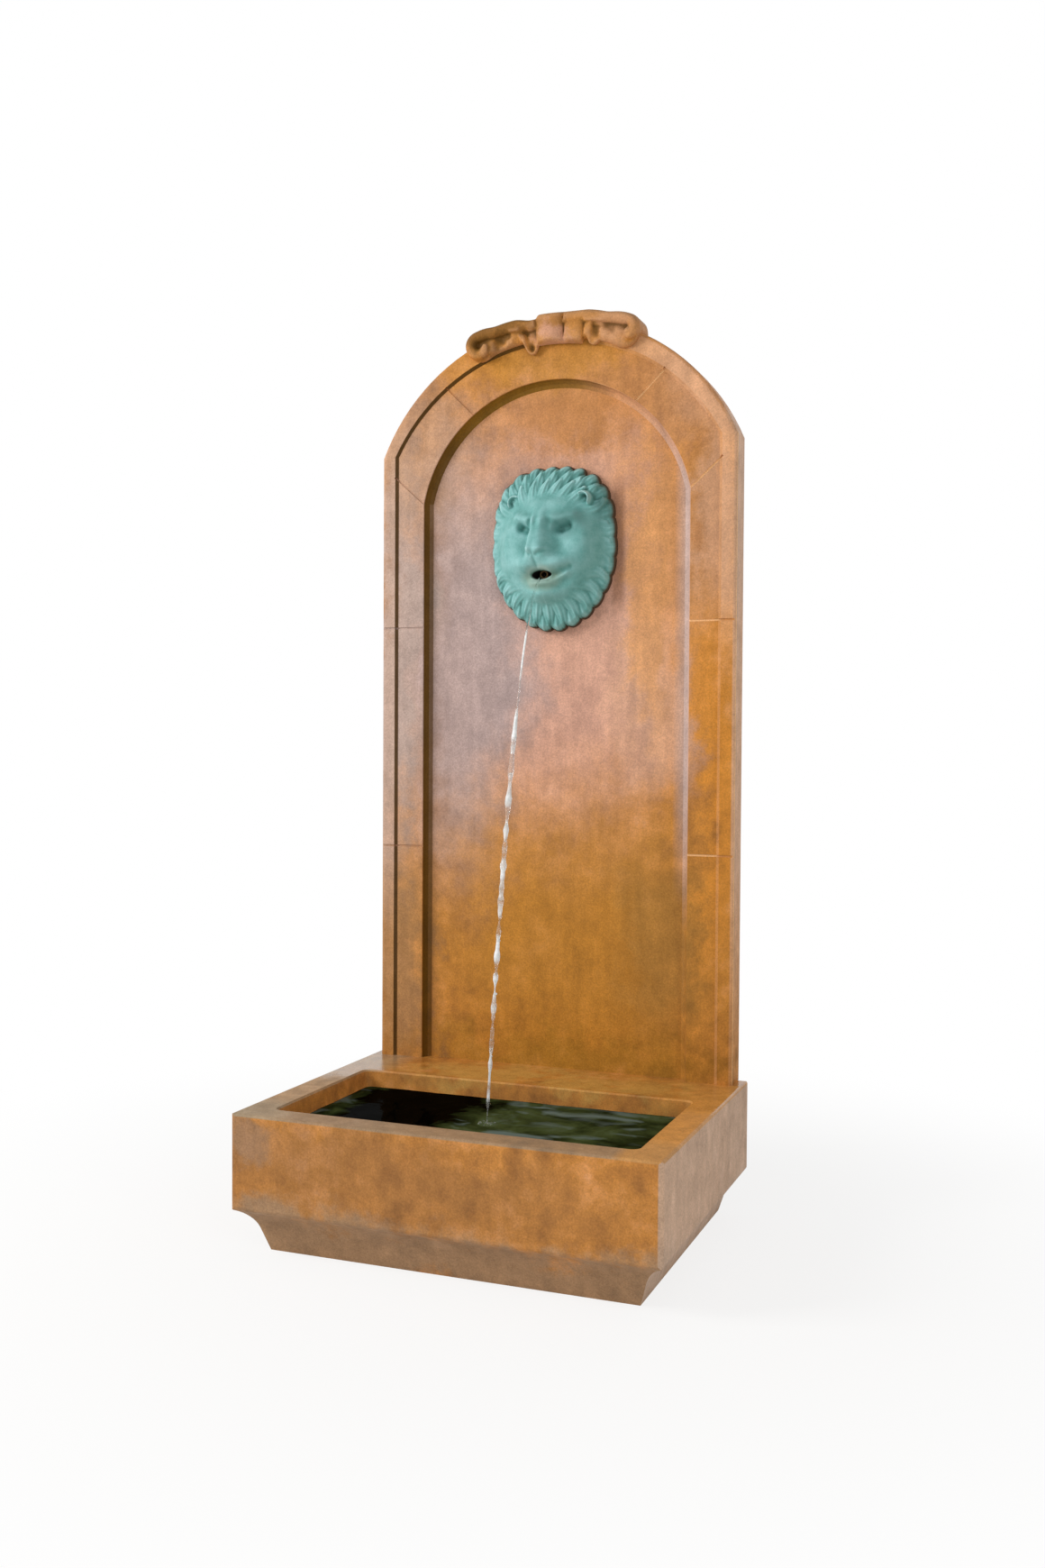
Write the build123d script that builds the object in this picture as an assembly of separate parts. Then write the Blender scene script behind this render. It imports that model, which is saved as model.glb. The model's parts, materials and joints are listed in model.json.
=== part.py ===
# Garden wall fountain of cast stone: a trough, an arched back panel, a lion mask spout, a pump and its plumbing.
# Millimetres, +Z up, front towards -Y. The origin is the middle of the footprint, on the ground.
import os
from math import atan2, cos, degrees, pi, radians, sin, sqrt, tan

from build123d import *

# Trough: a rectangular block on a cove-undercut base
basin_w = 800.0
basin_d = 610.0
basin_h = 256.0
skirt_z = 84.0
base_inset_side = 52.0
base_inset_front = 55.0
base_inset_rear = 25.0
basin_corner_r = 12.0
basin_corner_ease = 0.4
basin_arris_r = 6.0

# Cove under the trough's sides, as distances in from the face and down from the skirt
cove_low_in = 38.0
cove_low_drop = 40.0
cove_mid_in = 22.0
cove_mid_drop = 15.0
cove_high_in = 5.0
cove_high_drop = 3.0

# Trough cavity, with a pump bay under the rear ledge
rim_side = 59.0
rim_front = 56.0
opening_d = 351.0
floor_t = 45.0
cavity_draft = 40.0
cavity_corner_r = 14.0
rim_chamfer = 3.0
ledge_t = 40.0
bay_w = 560.0
bay_rear_wall = 45.0

# Back panel: an arched slab with a raised outer band, a fascia and a sunk field.
# The cove into the field passes through shares of its bevel and of its drop.
panel_w = 760.0
panel_t = 60.0
panel_shoulder = 1262.0
panel_rise = 253.0
panel_arris_r = 8.0
band_w = 29.0
band_crown_w = 39.0
step_d = 5.0
step_bevel = 7.0
fascia_w = 57.0
field_spring = 1163.0
field_rise = 234.0
field_d = 24.0
field_bevel = 15.0
field_skin = 13.0
field_cove = ((0.0, 0.0), (0.18, 0.42), (0.5, 0.78), (1.0, 1.0))
joint_w = 4.0
joint_d = 2.0
leg_joints = (446.0, 904.0)
haunch_angle = 36.5
hollow_margin = 22.0
foot_rail = 44.0

# Crest: a ribbon tie between two scrolls, saddled over the crown of the arch
crest_half_angle = 23.0
crest_above = 8.0
crest_front = 12.0
crest_back_inset = 8.0
tie_w = 66.0
tie_above = 11.0
tie_below = 11.0
tie_front = 24.0
tie_groove = 5.0
scroll_end_r = 32.0
scroll_end_angle = 22.6
scroll_end_sink = 11.0
scroll_mid_r = 29.0
scroll_mid_angle = 14.0
scroll_mid_sink = 15.0
scroll_front = 20.0
scroll_mid_front = 16.0
scroll_edge_r = 7.0
scroll_eye_r = 9.0
scroll_groove = 6.0
crest_dowel_r = 4.0
crest_dowel_in_panel = 30.0
crest_dowel_in_crest = 9.0
crest_dowel_spacing = 120.0

# Lion mask: a hollow relief on the sunk field
mask_centre = 1056.0
mask_w = 268.0
mask_h = 336.0
mask_rim_t = 24.0
mask_dome = 56.0
mask_wall = 12.0
muzzle_reach = 84.0
nose_reach = 95.0
muzzle_w = 104.0
muzzle_h = 108.0
mouth_drop = 57.0
mouth_r = 12.0
eye_spacing = 84.0
eye_rise = 38.0
eye_r = 12.0
ear_spacing = 150.0
ear_rise = 97.0
ear_r = 25.0
brow_inner = 16.0
brow_outer = 62.0
brow_rise = 58.0
brow_lift = 12.0
brow_r = 13.0
cheek_r = 34.0
cheek_spacing = 118.0
cheek_drop = 14.0
cheek_sink = 24.0
chin_r = 30.0
chin_drop = 98.0
lock_count = 26
lock_r = 17.0
curl_count = 17
curl_r = 20.0
curl_ring = 0.76

# Rings of the mask's lofts, as shares of their outline and of their reach
dome_rings = ((0.9, 0.34), (0.82, 0.58), (0.66, 0.85), (0.46, 1.0))
muzzle_rings = ((1.0, 0.4), (0.9, 0.78), (0.62, 1.0))
hollow_rings = ((1.0, -0.02), (0.97, 0.34), (0.7, 0.64))
nose_bridge_half = 12.0
nose_mid_half = 16.0
nose_tip_half = 23.0
nose_base_half = 18.0
nose_tip_drop = 19.0
nose_base_drop = 30.0
nose_base_back = 6.0

# Mask fixings: four studs through the sunk field, with a washer and a nut behind
stud_r = 4.0
stud_spacing_x = 160.0
stud_spacing_z = 190.0
stud_in_mask = 20.0
stud_tail = 3.5
stud_boss_r = 10.0
washer_r = 9.0
washer_t = 1.6
nut_flats = 13.0
nut_t = 6.5

# Spout: a brass tube from an elbow behind the panel to the lion's mouth
spout_r = 8.0
spout_wall = 2.0
spout_setback = 20.0
elbow_r = 11.0
elbow_leg_r = 8.5
elbow_drop = 18.0
elbow_socket = 8.0
elbow_bore_r = 4.0
elbow_back = 1.5
spout_gasket_r = 16.0
spout_gasket_t = 2.5
spout_nut_flats = 27.0
spout_nut_t = 8.0

# Supply hose and what holds it
hose_r = 7.5
hose_wall = 1.5
hose_bend_r = 60.0
hose_lift = 1.5
barb_l = 20.0
barb_rib_l = 4.0
barb_ribs = 3
barb_rib_h = 0.6
clamp_w = 9.0
clamp_t = 1.0
clamp_offset = 6.0
clamp_box_h = 7.0
clip_heights = (240.0, 500.0, 760.0)
clip_w = 12.0
clip_t = 1.5
clip_foot = 15.0
screw_r = 1.75
screw_head_r = 3.6
screw_head_t = 1.8
screw_l = 9.0

# Pump: a magnet-drive pump on suction cups, its axis along X and its outlet under the hose
pump_setback = 66.0
pump_w = 58.0
pump_below = 40.0
pump_above = 28.0
motor_l = 62.0
chamber_l = 18.0
chamber_r = 20.0
outlet_r = 9.0
outlet_h = 12.0
outlet_bore_r = 6.5
outlet_flange_t = 3.0
well_r = 13.0
well_l = 44.0
core_l = 26.0
core_pole_t = 7.0
core_yoke_t = 8.0
core_yoke_drop = 24.0
coil_t = 4.0
coil_span = 27.0
shaft_r = 2.0
bush_r = 4.0
bush_l = 5.0
magnet_r = 11.5
magnet_end_gap = 2.0
impeller_r = 17.0
impeller_hub_r = 6.5
impeller_disc_t = 2.0
vane_h = 8.0
vane_t = 2.2
vane_count = 6
cover_t = 3.0
intake_r = 11.0
spider_w = 3.0
spider_arms = 3
seal_r = 22.0
seal_w = 2.0
seal_t = 1.6
strainer_l = 30.0
strainer_wall = 2.5
tongue_w = 12.0
slot_w = 3.0
slot_pitch = 7.0
dial_r = 10.0
dial_t = 5.0
dial_stem_r = 3.0
dial_plate_r = 14.0
dial_plate_t = 2.0
dial_grip_t = 3.0
dial_grip_inset = 1.0
dial_boss_w = 2.0
cup_h = 8.0
cup_r = 9.0
cup_inset = 13.0
cup_neck_r = 4.0
cup_skirt_h = 4.8
cup_hollow_r = 7.2
cup_hollow_h = 2.4
gland_r = 7.0
gland_l = 14.0
gland_bore_r = 3.2
gland_tip_r = 4.9

# Drain: a flanged outlet through the floor, with a lift-out plug
drain_x = 200.0
drain_y = -60.0
drain_tube_r = 16.0
drain_bore_r = 11.0
drain_flange_r = 26.0
drain_flange_t = 4.0
drain_gasket_t = 2.5
drain_tail_lift = 4.0
drain_pocket_r = 34.0
drain_pocket_h = 20.0
drain_nut_flats = 44.0
drain_nut_t = 10.0
plug_cap_r = 17.0
plug_cap_t = 5.0
plug_l = 8.0
plug_taper = 1.0
ring_r = 8.0
ring_wire_r = 2.0

# Dowels between the panel's legs and the ledge
dowel_r = 8.0
dowel_l = 80.0

# Clearances
gap_close = 0.05
gap_run = 0.05
gap_slide = 0.3
gap_hole = 0.6
chase_gap = 2.5

# Places worked out from the sizes above
front_y = -basin_d / 2
rear_y = basin_d / 2
ledge_y = front_y + rim_front + opening_d
panel_front = rear_y - panel_t
step_y = panel_front + step_d
field_y = panel_front + field_d
hollow_y = field_y + field_skin
shoulder_z = basin_h + panel_shoulder
crown_z = shoulder_z + panel_rise
field_half = panel_w / 2 - band_w - step_bevel - fascia_w
field_spring_z = basin_h + field_spring
field_crown_z = field_spring_z + field_rise
arch_r = ((panel_w / 2) ** 2 + panel_rise ** 2) / (2 * panel_rise)
arch_z = crown_z - arch_r
mask_z = basin_h + mask_centre
spout_z = mask_z - mouth_drop
hose_y = hollow_y + hose_lift + hose_r
pump_y = hose_y - pump_setback
pump_z = floor_t + cup_h + pump_below
chamber_x = chamber_l / 2
cover_x = chamber_x + cover_t
outlet_top = pump_z + pump_above + outlet_h
hose_start = outlet_top + outlet_flange_t
hose_end = spout_z - elbow_drop
well_end = -chamber_x - well_l
motor_end = -chamber_x - motor_l
hose_bore_r = hose_r - hose_wall
BASE = (Align.CENTER, Align.CENTER, Align.MIN)


def rod_x(r, x0, x1, y, z):
    """Round bar along X."""
    return Pos(x0, y, z) * Rot(0, 90, 0) * Cylinder(r, x1 - x0, align=BASE)


def rod_y(r, y0, y1, x, z):
    """Round bar along Y."""
    return Pos(x, y0, z) * Rot(-90, 0, 0) * Cylinder(r, y1 - y0, align=BASE)


def rod_z(r, z0, z1, x, y):
    """Round bar along Z."""
    return Pos(x, y, z0) * Cylinder(r, z1 - z0, align=BASE)


def block(x0, x1, y0, y1, z0, z1):
    """Box between two corners."""
    return Pos((x0 + x1) / 2, (y0 + y1) / 2, (z0 + z1) / 2) * Box(x1 - x0, y1 - y0, z1 - z0)


def upright(face, y):
    """Stand a flat face, drawn in X and Z, in the plane at y."""
    return Plane.XZ.offset(-y) * face


def slab(face, y_back, y_front):
    """Slab of a face drawn in X and Z, from its back to its front."""
    return extrude(upright(face, y_back), amount=y_back - y_front)


def hexagon_y(flats, y0, y1, x, z):
    """Hexagonal bar along Y."""
    return slab(Pos(x, z) * RegularPolygon(flats / 2, 6, major_radius=False), y1, y0)


def group(solids):
    """One node of separate solids."""
    return Compound(children=list(solids))


# Trough
def cove_edges(reach, side):
    """One side's edge from the base up to the rim: slope, cove, rounded lower arris, face, rounded rim.

    reach is how far the base stands in from the face, side is -1 or 1, and the face is at 0."""
    def at(inward, z):
        return (-side * inward, z)

    share = reach / base_inset_side
    foot = at(reach, 0)
    low = at(cove_low_in * share, skirt_z - cove_low_drop)
    high = at(cove_high_in * share, skirt_z - cove_high_drop)
    cove = ThreePointArc(low, at(cove_mid_in * share, skirt_z - cove_mid_drop), high)
    arris = TangentArc(at(0, skirt_z + basin_arris_r), high, tangent=(0, -1))
    face = Line(at(0, skirt_z + basin_arris_r), at(0, basin_h - basin_arris_r))
    turn = basin_arris_r * (1 - cos(pi / 4))
    rim = ThreePointArc(at(0, basin_h - basin_arris_r), at(turn, basin_h - turn), at(basin_arris_r, basin_h))
    return [Line(foot, low), cove, arris, face, rim]


def trough_section(depth, reach_low, reach_high):
    """Closed section of the trough's outside across one direction."""
    left = [Pos(-depth / 2, 0) * e for e in cove_edges(reach_low, -1)]
    right = [Pos(depth / 2, 0) * e for e in cove_edges(reach_high, 1)]
    top = Line((-depth / 2 + basin_arris_r, basin_h), (depth / 2 - basin_arris_r, basin_h))
    bottom = Line((-depth / 2 + reach_low, 0), (depth / 2 - reach_high, 0))
    return make_face(Curve() + left + right + [top, bottom])


def hose_route():
    """Centre line of the hose: up from the pump, back through the ledge, up behind the panel."""
    turn = hose_bend_r * tan(pi / 8)
    low = hose_start + barb_l + turn
    high = low + (hose_y - pump_y)
    points = [(0, pump_y, hose_start), (0, pump_y, low), (0, hose_y, high), (0, hose_y, hose_end)]
    return FilletPolyline(*points, radius=hose_bend_r)


def along_route(radius, route):
    """Round bar along a route."""
    return sweep(Plane(origin=route @ 0, z_dir=route % 0) * Circle(radius), path=route)


def make_basin(chase):
    across = slab(
        trough_section(basin_w, base_inset_side, base_inset_side), rear_y + rim_side, front_y - rim_side)
    along = extrude(
        Plane.YZ * trough_section(basin_d, base_inset_front, base_inset_rear), amount=basin_w, both=True)
    eased_w = basin_w + 2 * basin_corner_ease
    eased_d = basin_d + 2 * basin_corner_ease
    plan = extrude(RectangleRounded(eased_w, eased_d, basin_corner_r), amount=basin_h)
    body = across & along & plan
    open_w = basin_w - 2 * rim_side
    mid_y = ledge_y - opening_d / 2
    mouth = Plane.XY.offset(basin_h) * Pos(0, mid_y) * RectangleRounded(open_w, opening_d, cavity_corner_r)
    low_d = opening_d - cavity_draft
    low_w = open_w - 2 * cavity_draft
    low = Plane.XY.offset(floor_t) * Pos(0, ledge_y - low_d / 2) * RectangleRounded(low_w, low_d, cavity_corner_r)
    body -= loft([low, mouth], ruled=True)
    lip = Plane.XY.offset(basin_h - rim_chamfer) * Pos(0, mid_y) * RectangleRounded(
        open_w, opening_d, cavity_corner_r)
    wide = Plane.XY.offset(basin_h) * Pos(0, mid_y) * RectangleRounded(
        open_w + 2 * rim_chamfer, opening_d + 2 * rim_chamfer, cavity_corner_r + rim_chamfer)
    body -= loft([lip, wide], ruled=True)
    body -= block(-bay_w / 2, bay_w / 2, ledge_y - opening_d / 2, rear_y - bay_rear_wall, floor_t, basin_h - ledge_t)
    body -= chase
    for x, y in dowel_places():
        body -= rod_z(dowel_r + gap_slide, basin_h - dowel_l / 2, basin_h, x, y)
    body -= rod_z(drain_pocket_r, 0, drain_pocket_h, drain_x, drain_y)
    body -= rod_z(drain_tube_r + gap_hole, 0, floor_t, drain_x, drain_y)
    return body


def dowel_places():
    """Plan positions of the two dowels under the panel's legs."""
    x = panel_w / 2 - band_w - step_bevel - fascia_w / 2
    return [(-x, panel_front + panel_t / 2), (x, panel_front + panel_t / 2)]


# Back panel
def arch(half_w, spring, crown, foot=basin_h):
    """Upright face with straight sides and a segmental head."""
    sides = Polyline((-half_w, spring), (-half_w, foot), (half_w, foot), (half_w, spring))
    return make_face(sides + ThreePointArc((half_w, spring), (0, crown), (-half_w, spring)))


def field_face(inset):
    """The sunk field's outline, drawn in from the fascia's edge; it runs on below the panel's foot."""
    return arch(field_half - inset, field_spring_z, field_crown_z - inset, basin_h - panel_t)


def score(x0, z0, x1, z1, face_y):
    """A scored joint between two points of a face."""
    length = sqrt((x1 - x0) ** 2 + (z1 - z0) ** 2)
    angle = degrees(atan2(z1 - z0, x1 - x0))
    line = Pos((x0 + x1) / 2, (z0 + z1) / 2) * Rot(0, 0, angle) * Rectangle(length, joint_w)
    return slab(line, face_y + joint_d, face_y - step_d)


def joint_cuts():
    """The scored joints: two on each leg, one at each springing and one at each haunch."""
    edge = panel_w / 2
    band = edge - band_w
    field_r = (field_half ** 2 + field_rise ** 2) / (2 * field_rise)
    turn = radians(haunch_angle)
    step_r = (band ** 2 + (panel_rise - band_crown_w) ** 2) / (2 * (panel_rise - band_crown_w))
    cuts = []
    for side in (-1, 1):
        for height in leg_joints:
            z = basin_h + height
            cuts.append(score(side * (field_half - field_bevel / 2), z, side * band, z, step_y))
            cuts.append(score(side * band, z, side * (edge + joint_w), z, panel_front))
        cuts.append(score(side * field_half, field_spring_z, side * band, field_spring_z + fascia_w, step_y))
        x0, z0 = field_r * sin(turn), field_crown_z - field_r + field_r * cos(turn)
        x1, z1 = step_r * sin(turn), crown_z - band_crown_w - step_r + step_r * cos(turn)
        cuts.append(score(side * x0, z0, side * x1, z1, step_y))
    return cuts


def panel_form():
    """The panel's outside, before its joints, hollow and holes."""
    body = slab(arch(panel_w / 2, shoulder_z, crown_z), rear_y, panel_front)
    front = body.faces().sort_by(Axis.Y)[0]
    arrises = [e for e in front.edges() if e.center().Z > basin_h + panel_arris_r]
    body = fillet(arrises, radius=panel_arris_r)
    low = basin_h - panel_t
    band = panel_w / 2 - band_w
    step_top = upright(arch(band, shoulder_z, crown_z - band_crown_w, low), panel_front)
    step_low = upright(
        arch(band - step_bevel, shoulder_z, crown_z - band_crown_w - step_bevel, low), step_y)
    body -= loft([step_top, step_low], ruled=True)
    drop = field_d - step_d
    rings = [upright(field_face(a * field_bevel), step_y + b * drop) for a, b in field_cove]
    return body - loft(rings, ruled=True)


def make_panel(chase):
    body = panel_form()
    body -= joint_cuts()
    half = field_half - field_bevel - hollow_margin
    crown = field_crown_z - field_bevel - hollow_margin
    body -= slab(arch(half, field_spring_z, crown, basin_h + foot_rail), rear_y, hollow_y)
    body -= chase
    for x, y in dowel_places():
        body -= rod_z(dowel_r + gap_slide, basin_h, basin_h + dowel_l / 2, x, y)
    for x, z in stud_places():
        body -= rod_y(stud_r + gap_hole, field_y, hollow_y, x, z)
    for x, z in crest_dowel_places():
        body -= rod_y(crest_dowel_r + gap_slide, panel_front, panel_front + crest_dowel_in_panel, x, z)
    body -= rod_y(spout_r + gap_hole, field_y, hollow_y, 0, spout_z)
    return body


# Crest
def on_arch(angle, r):
    """Point at an angle from the crown and a distance from the arch's centre."""
    return (r * sin(radians(angle)), arch_z + r * cos(radians(angle)))


def crest_dowel_places():
    """Two dowels side by side in the band, behind the crest."""
    x = crest_dowel_spacing / 2
    return [(side * x, arch_z + sqrt((arch_r - band_crown_w / 2) ** 2 - x * x)) for side in (-1, 1)]


def crest_band(half_angle, low_r, high_r):
    """Flat piece of a ring about the arch's centre."""
    a, b = on_arch(-half_angle, high_r), on_arch(half_angle, high_r)
    c, d = on_arch(half_angle, low_r), on_arch(-half_angle, low_r)
    top = ThreePointArc(a, on_arch(0, high_r), b)
    bottom = ThreePointArc(c, on_arch(0, low_r), d)
    return make_face(Curve() + [top, Line(b, c), bottom, Line(d, a)])


def scroll_lobe(place, r, reach, back):
    """Round scroll end with a softened front edge."""
    lobe = slab(Pos(*place) * Circle(r), back, panel_front - reach)
    rim = lobe.edges().filter_by(GeomType.CIRCLE).sort_by(Axis.Y)[0]
    return fillet(rim, radius=scroll_edge_r)


def make_crest():
    low_r = arch_r - band_crown_w
    back = rear_y - crest_back_inset
    body = slab(crest_band(crest_half_angle, low_r, arch_r + crest_above), back, panel_front - crest_front)
    eyes = []
    for side in (-1, 1):
        end = on_arch(side * scroll_end_angle, arch_r - scroll_end_sink)
        mid = on_arch(side * scroll_mid_angle, arch_r - scroll_mid_sink)
        body += scroll_lobe(end, scroll_end_r, scroll_front, back)
        body += scroll_lobe(mid, scroll_mid_r, scroll_mid_front, back)
        ring = Circle(scroll_eye_r + scroll_groove) - Circle(scroll_eye_r)
        eyes.append(slab(Pos(*end) * ring, panel_front - scroll_front + scroll_groove, panel_front - tie_front))
    tie_low = arch_z + low_r - tie_below
    tie_high = crown_z + tie_above
    for side in (-1, 1):
        inner, outer = sorted((side * tie_groove / 2, side * tie_w / 2))
        half = block(inner, outer, panel_front - tie_front, back, tie_low, tie_high)
        front = half.faces().sort_by(Axis.Y)[0]
        body += fillet(front.edges(), radius=scroll_edge_r)
    body -= eyes
    body -= panel_form()
    body -= block(-panel_w, panel_w, panel_front, rear_y, arch_z, arch_z + low_r)
    for x, z in crest_dowel_places():
        body -= rod_y(crest_dowel_r + gap_slide, panel_front - crest_dowel_in_crest, panel_front, x, z)
    return body


def make_crest_dowels():
    start = panel_front - crest_dowel_in_crest
    end = panel_front + crest_dowel_in_panel
    return group(rod_y(crest_dowel_r, start, end, x, z) for x, z in crest_dowel_places())


def make_panel_dowels():
    low = basin_h - dowel_l / 2
    return group(rod_z(dowel_r, low, low + dowel_l, x, y) for x, y in dowel_places())


# Lion mask
def stud_places():
    """Four studs round the mask's centre."""
    return [(sx * stud_spacing_x / 2, mask_z + sz * stud_spacing_z / 2) for sx in (-1, 1) for sz in (-1, 1)]


def oval(half_w, half_h, reach, drop=0.0):
    """Upright oval at a distance in front of the sunk field."""
    return upright(Pos(0, mask_z - drop) * Ellipse(half_w, half_h), field_y - reach)


def mane_outline():
    """Scalloped outline of the mane: an oval with a ring of round locks."""
    half_w, half_h = mask_w / 2 - lock_r, mask_h / 2 - lock_r
    outline = Ellipse(half_w + lock_r / 2, half_h + lock_r / 2)
    for i in range(lock_count):
        t = 2 * pi * (i + 0.5) / lock_count
        outline += Pos(half_w * sin(t), half_h * cos(t)) * Circle(lock_r)
    return Pos(0, mask_z) * outline


def ball(x, rise, reach, r):
    """Ball on the mask, placed from its centre and from the sunk field."""
    return Pos(x, field_y - reach, mask_z + rise) * Sphere(r)


def brow(side):
    """Slanting brow ridge: a turned bar with round ends."""
    a = Vector(side * brow_inner, field_y - mask_dome, mask_z + brow_rise)
    b = Vector(side * brow_outer, field_y - mask_dome + brow_r, mask_z + brow_rise + brow_lift)
    length = (b - a).length
    slant = brow_r * sin(pi / 4)
    start = ThreePointArc((0, -brow_r), (slant, -slant), (brow_r, 0))
    end = ThreePointArc((brow_r, length), (slant, length + slant), (0, length + brow_r))
    sides = [Line((brow_r, 0), (brow_r, length)), Line((0, length + brow_r), (0, -brow_r))]
    bar = revolve(Plane.XZ * make_face(Curve() + [start, end] + sides), axis=Axis.Z)
    return Plane(origin=a, z_dir=b - a) * bar


def nose_bar():
    """Nose from the brow to its tip, through level ovals: rise, half width and reach."""
    rings = [
        (eye_rise + brow_r, nose_bridge_half, mask_dome),
        (0, nose_mid_half, nose_reach - eye_r),
        (-nose_tip_drop, nose_tip_half, nose_reach),
        (-nose_base_drop, nose_base_half, nose_reach - nose_base_back),
    ]
    sections = []
    for rise, half, reach in rings:
        ring = Pos(0, field_y - mask_rim_t) * Ellipse(half, reach - mask_rim_t)
        sections.append(Plane.XY.offset(mask_z + rise) * ring)
    return loft(sections, ruled=True)


def mane_curls():
    """Inner ring of round curls between the face and the outer locks, left open at the chin."""
    curls = []
    for i in range(curl_count):
        t = 2 * pi * (i + 0.5) / curl_count
        x, rise = curl_ring * mask_w / 2 * sin(t), curl_ring * mask_h / 2 * cos(t)
        curls.append(ball(x, rise, mask_rim_t, curl_r))
    return curls


def make_mask():
    half_w, half_h = mask_w / 2, mask_h / 2
    body = slab(mane_outline(), field_y, field_y - mask_rim_t)
    face = [loft([oval(half_w * k, half_h * k, mask_dome * up) for k, up in dome_rings])]
    face.append(loft([
        oval(muzzle_w / 2 * k, muzzle_h / 2 * k, muzzle_reach * up, mouth_drop) for k, up in muzzle_rings]))
    face.append(nose_bar())
    face.append(ball(0, -chin_drop, mask_dome - chin_r / 2, chin_r))
    for side in (-1, 1):
        face.append(brow(side))
        face.append(ball(side * eye_spacing / 2, eye_rise, mask_dome - eye_r / 3, eye_r))
        face.append(ball(side * cheek_spacing / 2, -cheek_drop, mask_dome - cheek_sink, cheek_r))
        face.append(ball(side * ear_spacing / 2, ear_rise, mask_rim_t + ear_r / 2, ear_r))
    for piece in face + mane_curls():
        body += piece
    body -= block(-mask_w, mask_w, field_y, field_y + nose_reach, mask_z - mask_h, mask_z + mask_h)
    inner_w, inner_h = half_w - lock_r - mask_wall, half_h - lock_r - mask_wall
    body -= loft([oval(inner_w * k, inner_h * k, mask_dome * up) for k, up in hollow_rings])
    body -= rod_y(spout_nut_flats / 2 + mask_wall / 2, field_y - muzzle_reach + mask_wall, field_y, 0, spout_z)
    body += [rod_y(stud_boss_r, field_y - stud_in_mask - mask_wall / 2, field_y, x, z) for x, z in stud_places()]
    body -= [rod_y(stud_r + gap_close, field_y - stud_in_mask, field_y, x, z) for x, z in stud_places()]
    return body - rod_y(mouth_r, field_y - nose_reach - mouth_r, field_y, 0, spout_z)


def stud_end():
    return hollow_y + washer_t + nut_t + stud_tail


def make_studs():
    return group(rod_y(stud_r, field_y - stud_in_mask, stud_end(), x, z) for x, z in stud_places())


def make_washers():
    hole = stud_r + gap_slide
    return group(
        rod_y(washer_r, hollow_y, hollow_y + washer_t, x, z) - rod_y(hole, hollow_y, hollow_y + washer_t, x, z)
        for x, z in stud_places())


def make_nuts():
    start = hollow_y + washer_t
    return group(
        hexagon_y(nut_flats, start, start + nut_t, x, z) - rod_y(stud_r + gap_close, start, start + nut_t, x, z)
        for x, z in stud_places())


# Spout
def make_spout_tube():
    start = field_y - muzzle_reach + spout_setback
    end = hollow_y + elbow_socket
    return rod_y(spout_r, start, end, 0, spout_z) - rod_y(spout_r - spout_wall, start, end, 0, spout_z)


def barb(z0, z1, x, y, direction):
    """Hose barb along Z between two heights; its ribs slope away from the shoulder."""
    r = hose_bore_r - gap_close
    stem = rod_z(r - barb_rib_h, min(z0, z1), max(z0, z1), x, y)
    pitch = (abs(z1 - z0) - barb_rib_l) / barb_ribs
    for i in range(barb_ribs):
        z = z0 + direction * (pitch * i + barb_rib_l / 2)
        low, high = (r, r - barb_rib_h) if direction > 0 else (r - barb_rib_h, r)
        bottom = min(z, z + direction * barb_rib_l)
        stem += Pos(x, y, bottom) * Cone(low, high, barb_rib_l, align=BASE)
    return stem


def make_elbow():
    back = hose_y + elbow_leg_r + elbow_back
    body = rod_y(elbow_r, hollow_y, back, 0, spout_z)
    body += rod_z(elbow_leg_r, hose_end, spout_z, 0, hose_y)
    body += barb(hose_end, hose_end - barb_l, 0, hose_y, -1)
    body -= rod_y(spout_r + gap_close, hollow_y, hollow_y + elbow_socket, 0, spout_z)
    body -= rod_y(spout_r - spout_wall, hollow_y, hose_y, 0, spout_z)
    body -= rod_z(elbow_bore_r, hose_end - barb_l, spout_z, 0, hose_y)
    return body


def make_spout_gasket():
    start = field_y - spout_gasket_t
    return rod_y(spout_gasket_r, start, field_y, 0, spout_z) - rod_y(
        spout_r + gap_close, start, field_y, 0, spout_z)


def make_spout_locknut():
    end = field_y - spout_gasket_t
    return hexagon_y(spout_nut_flats, end - spout_nut_t, end, 0, spout_z) - rod_y(
        spout_r + gap_close, end - spout_nut_t, end, 0, spout_z)


# Hose, clamps and clips
def make_hose():
    route = hose_route()
    wall = along_route(hose_r, route) - along_route(hose_bore_r, route)
    section = pi * (hose_r ** 2 - hose_bore_r ** 2)
    print("hose length", round(route.length, 1), "volume ratio", round(wall.volume / (section * route.length), 5))
    return wall


def make_clamp(z0, y):
    """Band clamp round the hose, with its screw housing on the +X side."""
    inner = hose_r + gap_close
    outer = inner + clamp_t
    body = rod_z(outer, z0, z0 + clamp_w, 0, y)
    body += block(inner, outer + clamp_box_h, y - clamp_box_h / 2, y + clamp_box_h / 2, z0, z0 + clamp_w)
    return body - rod_z(inner, z0, z0 + clamp_w, 0, y)


def clip_screw_places():
    """Two screws for each clip, one on each side of the hose."""
    x = hose_r + clip_t + clip_foot / 2
    return [(side * x, basin_h + z) for z in clip_heights for side in (-1, 1)]


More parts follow.
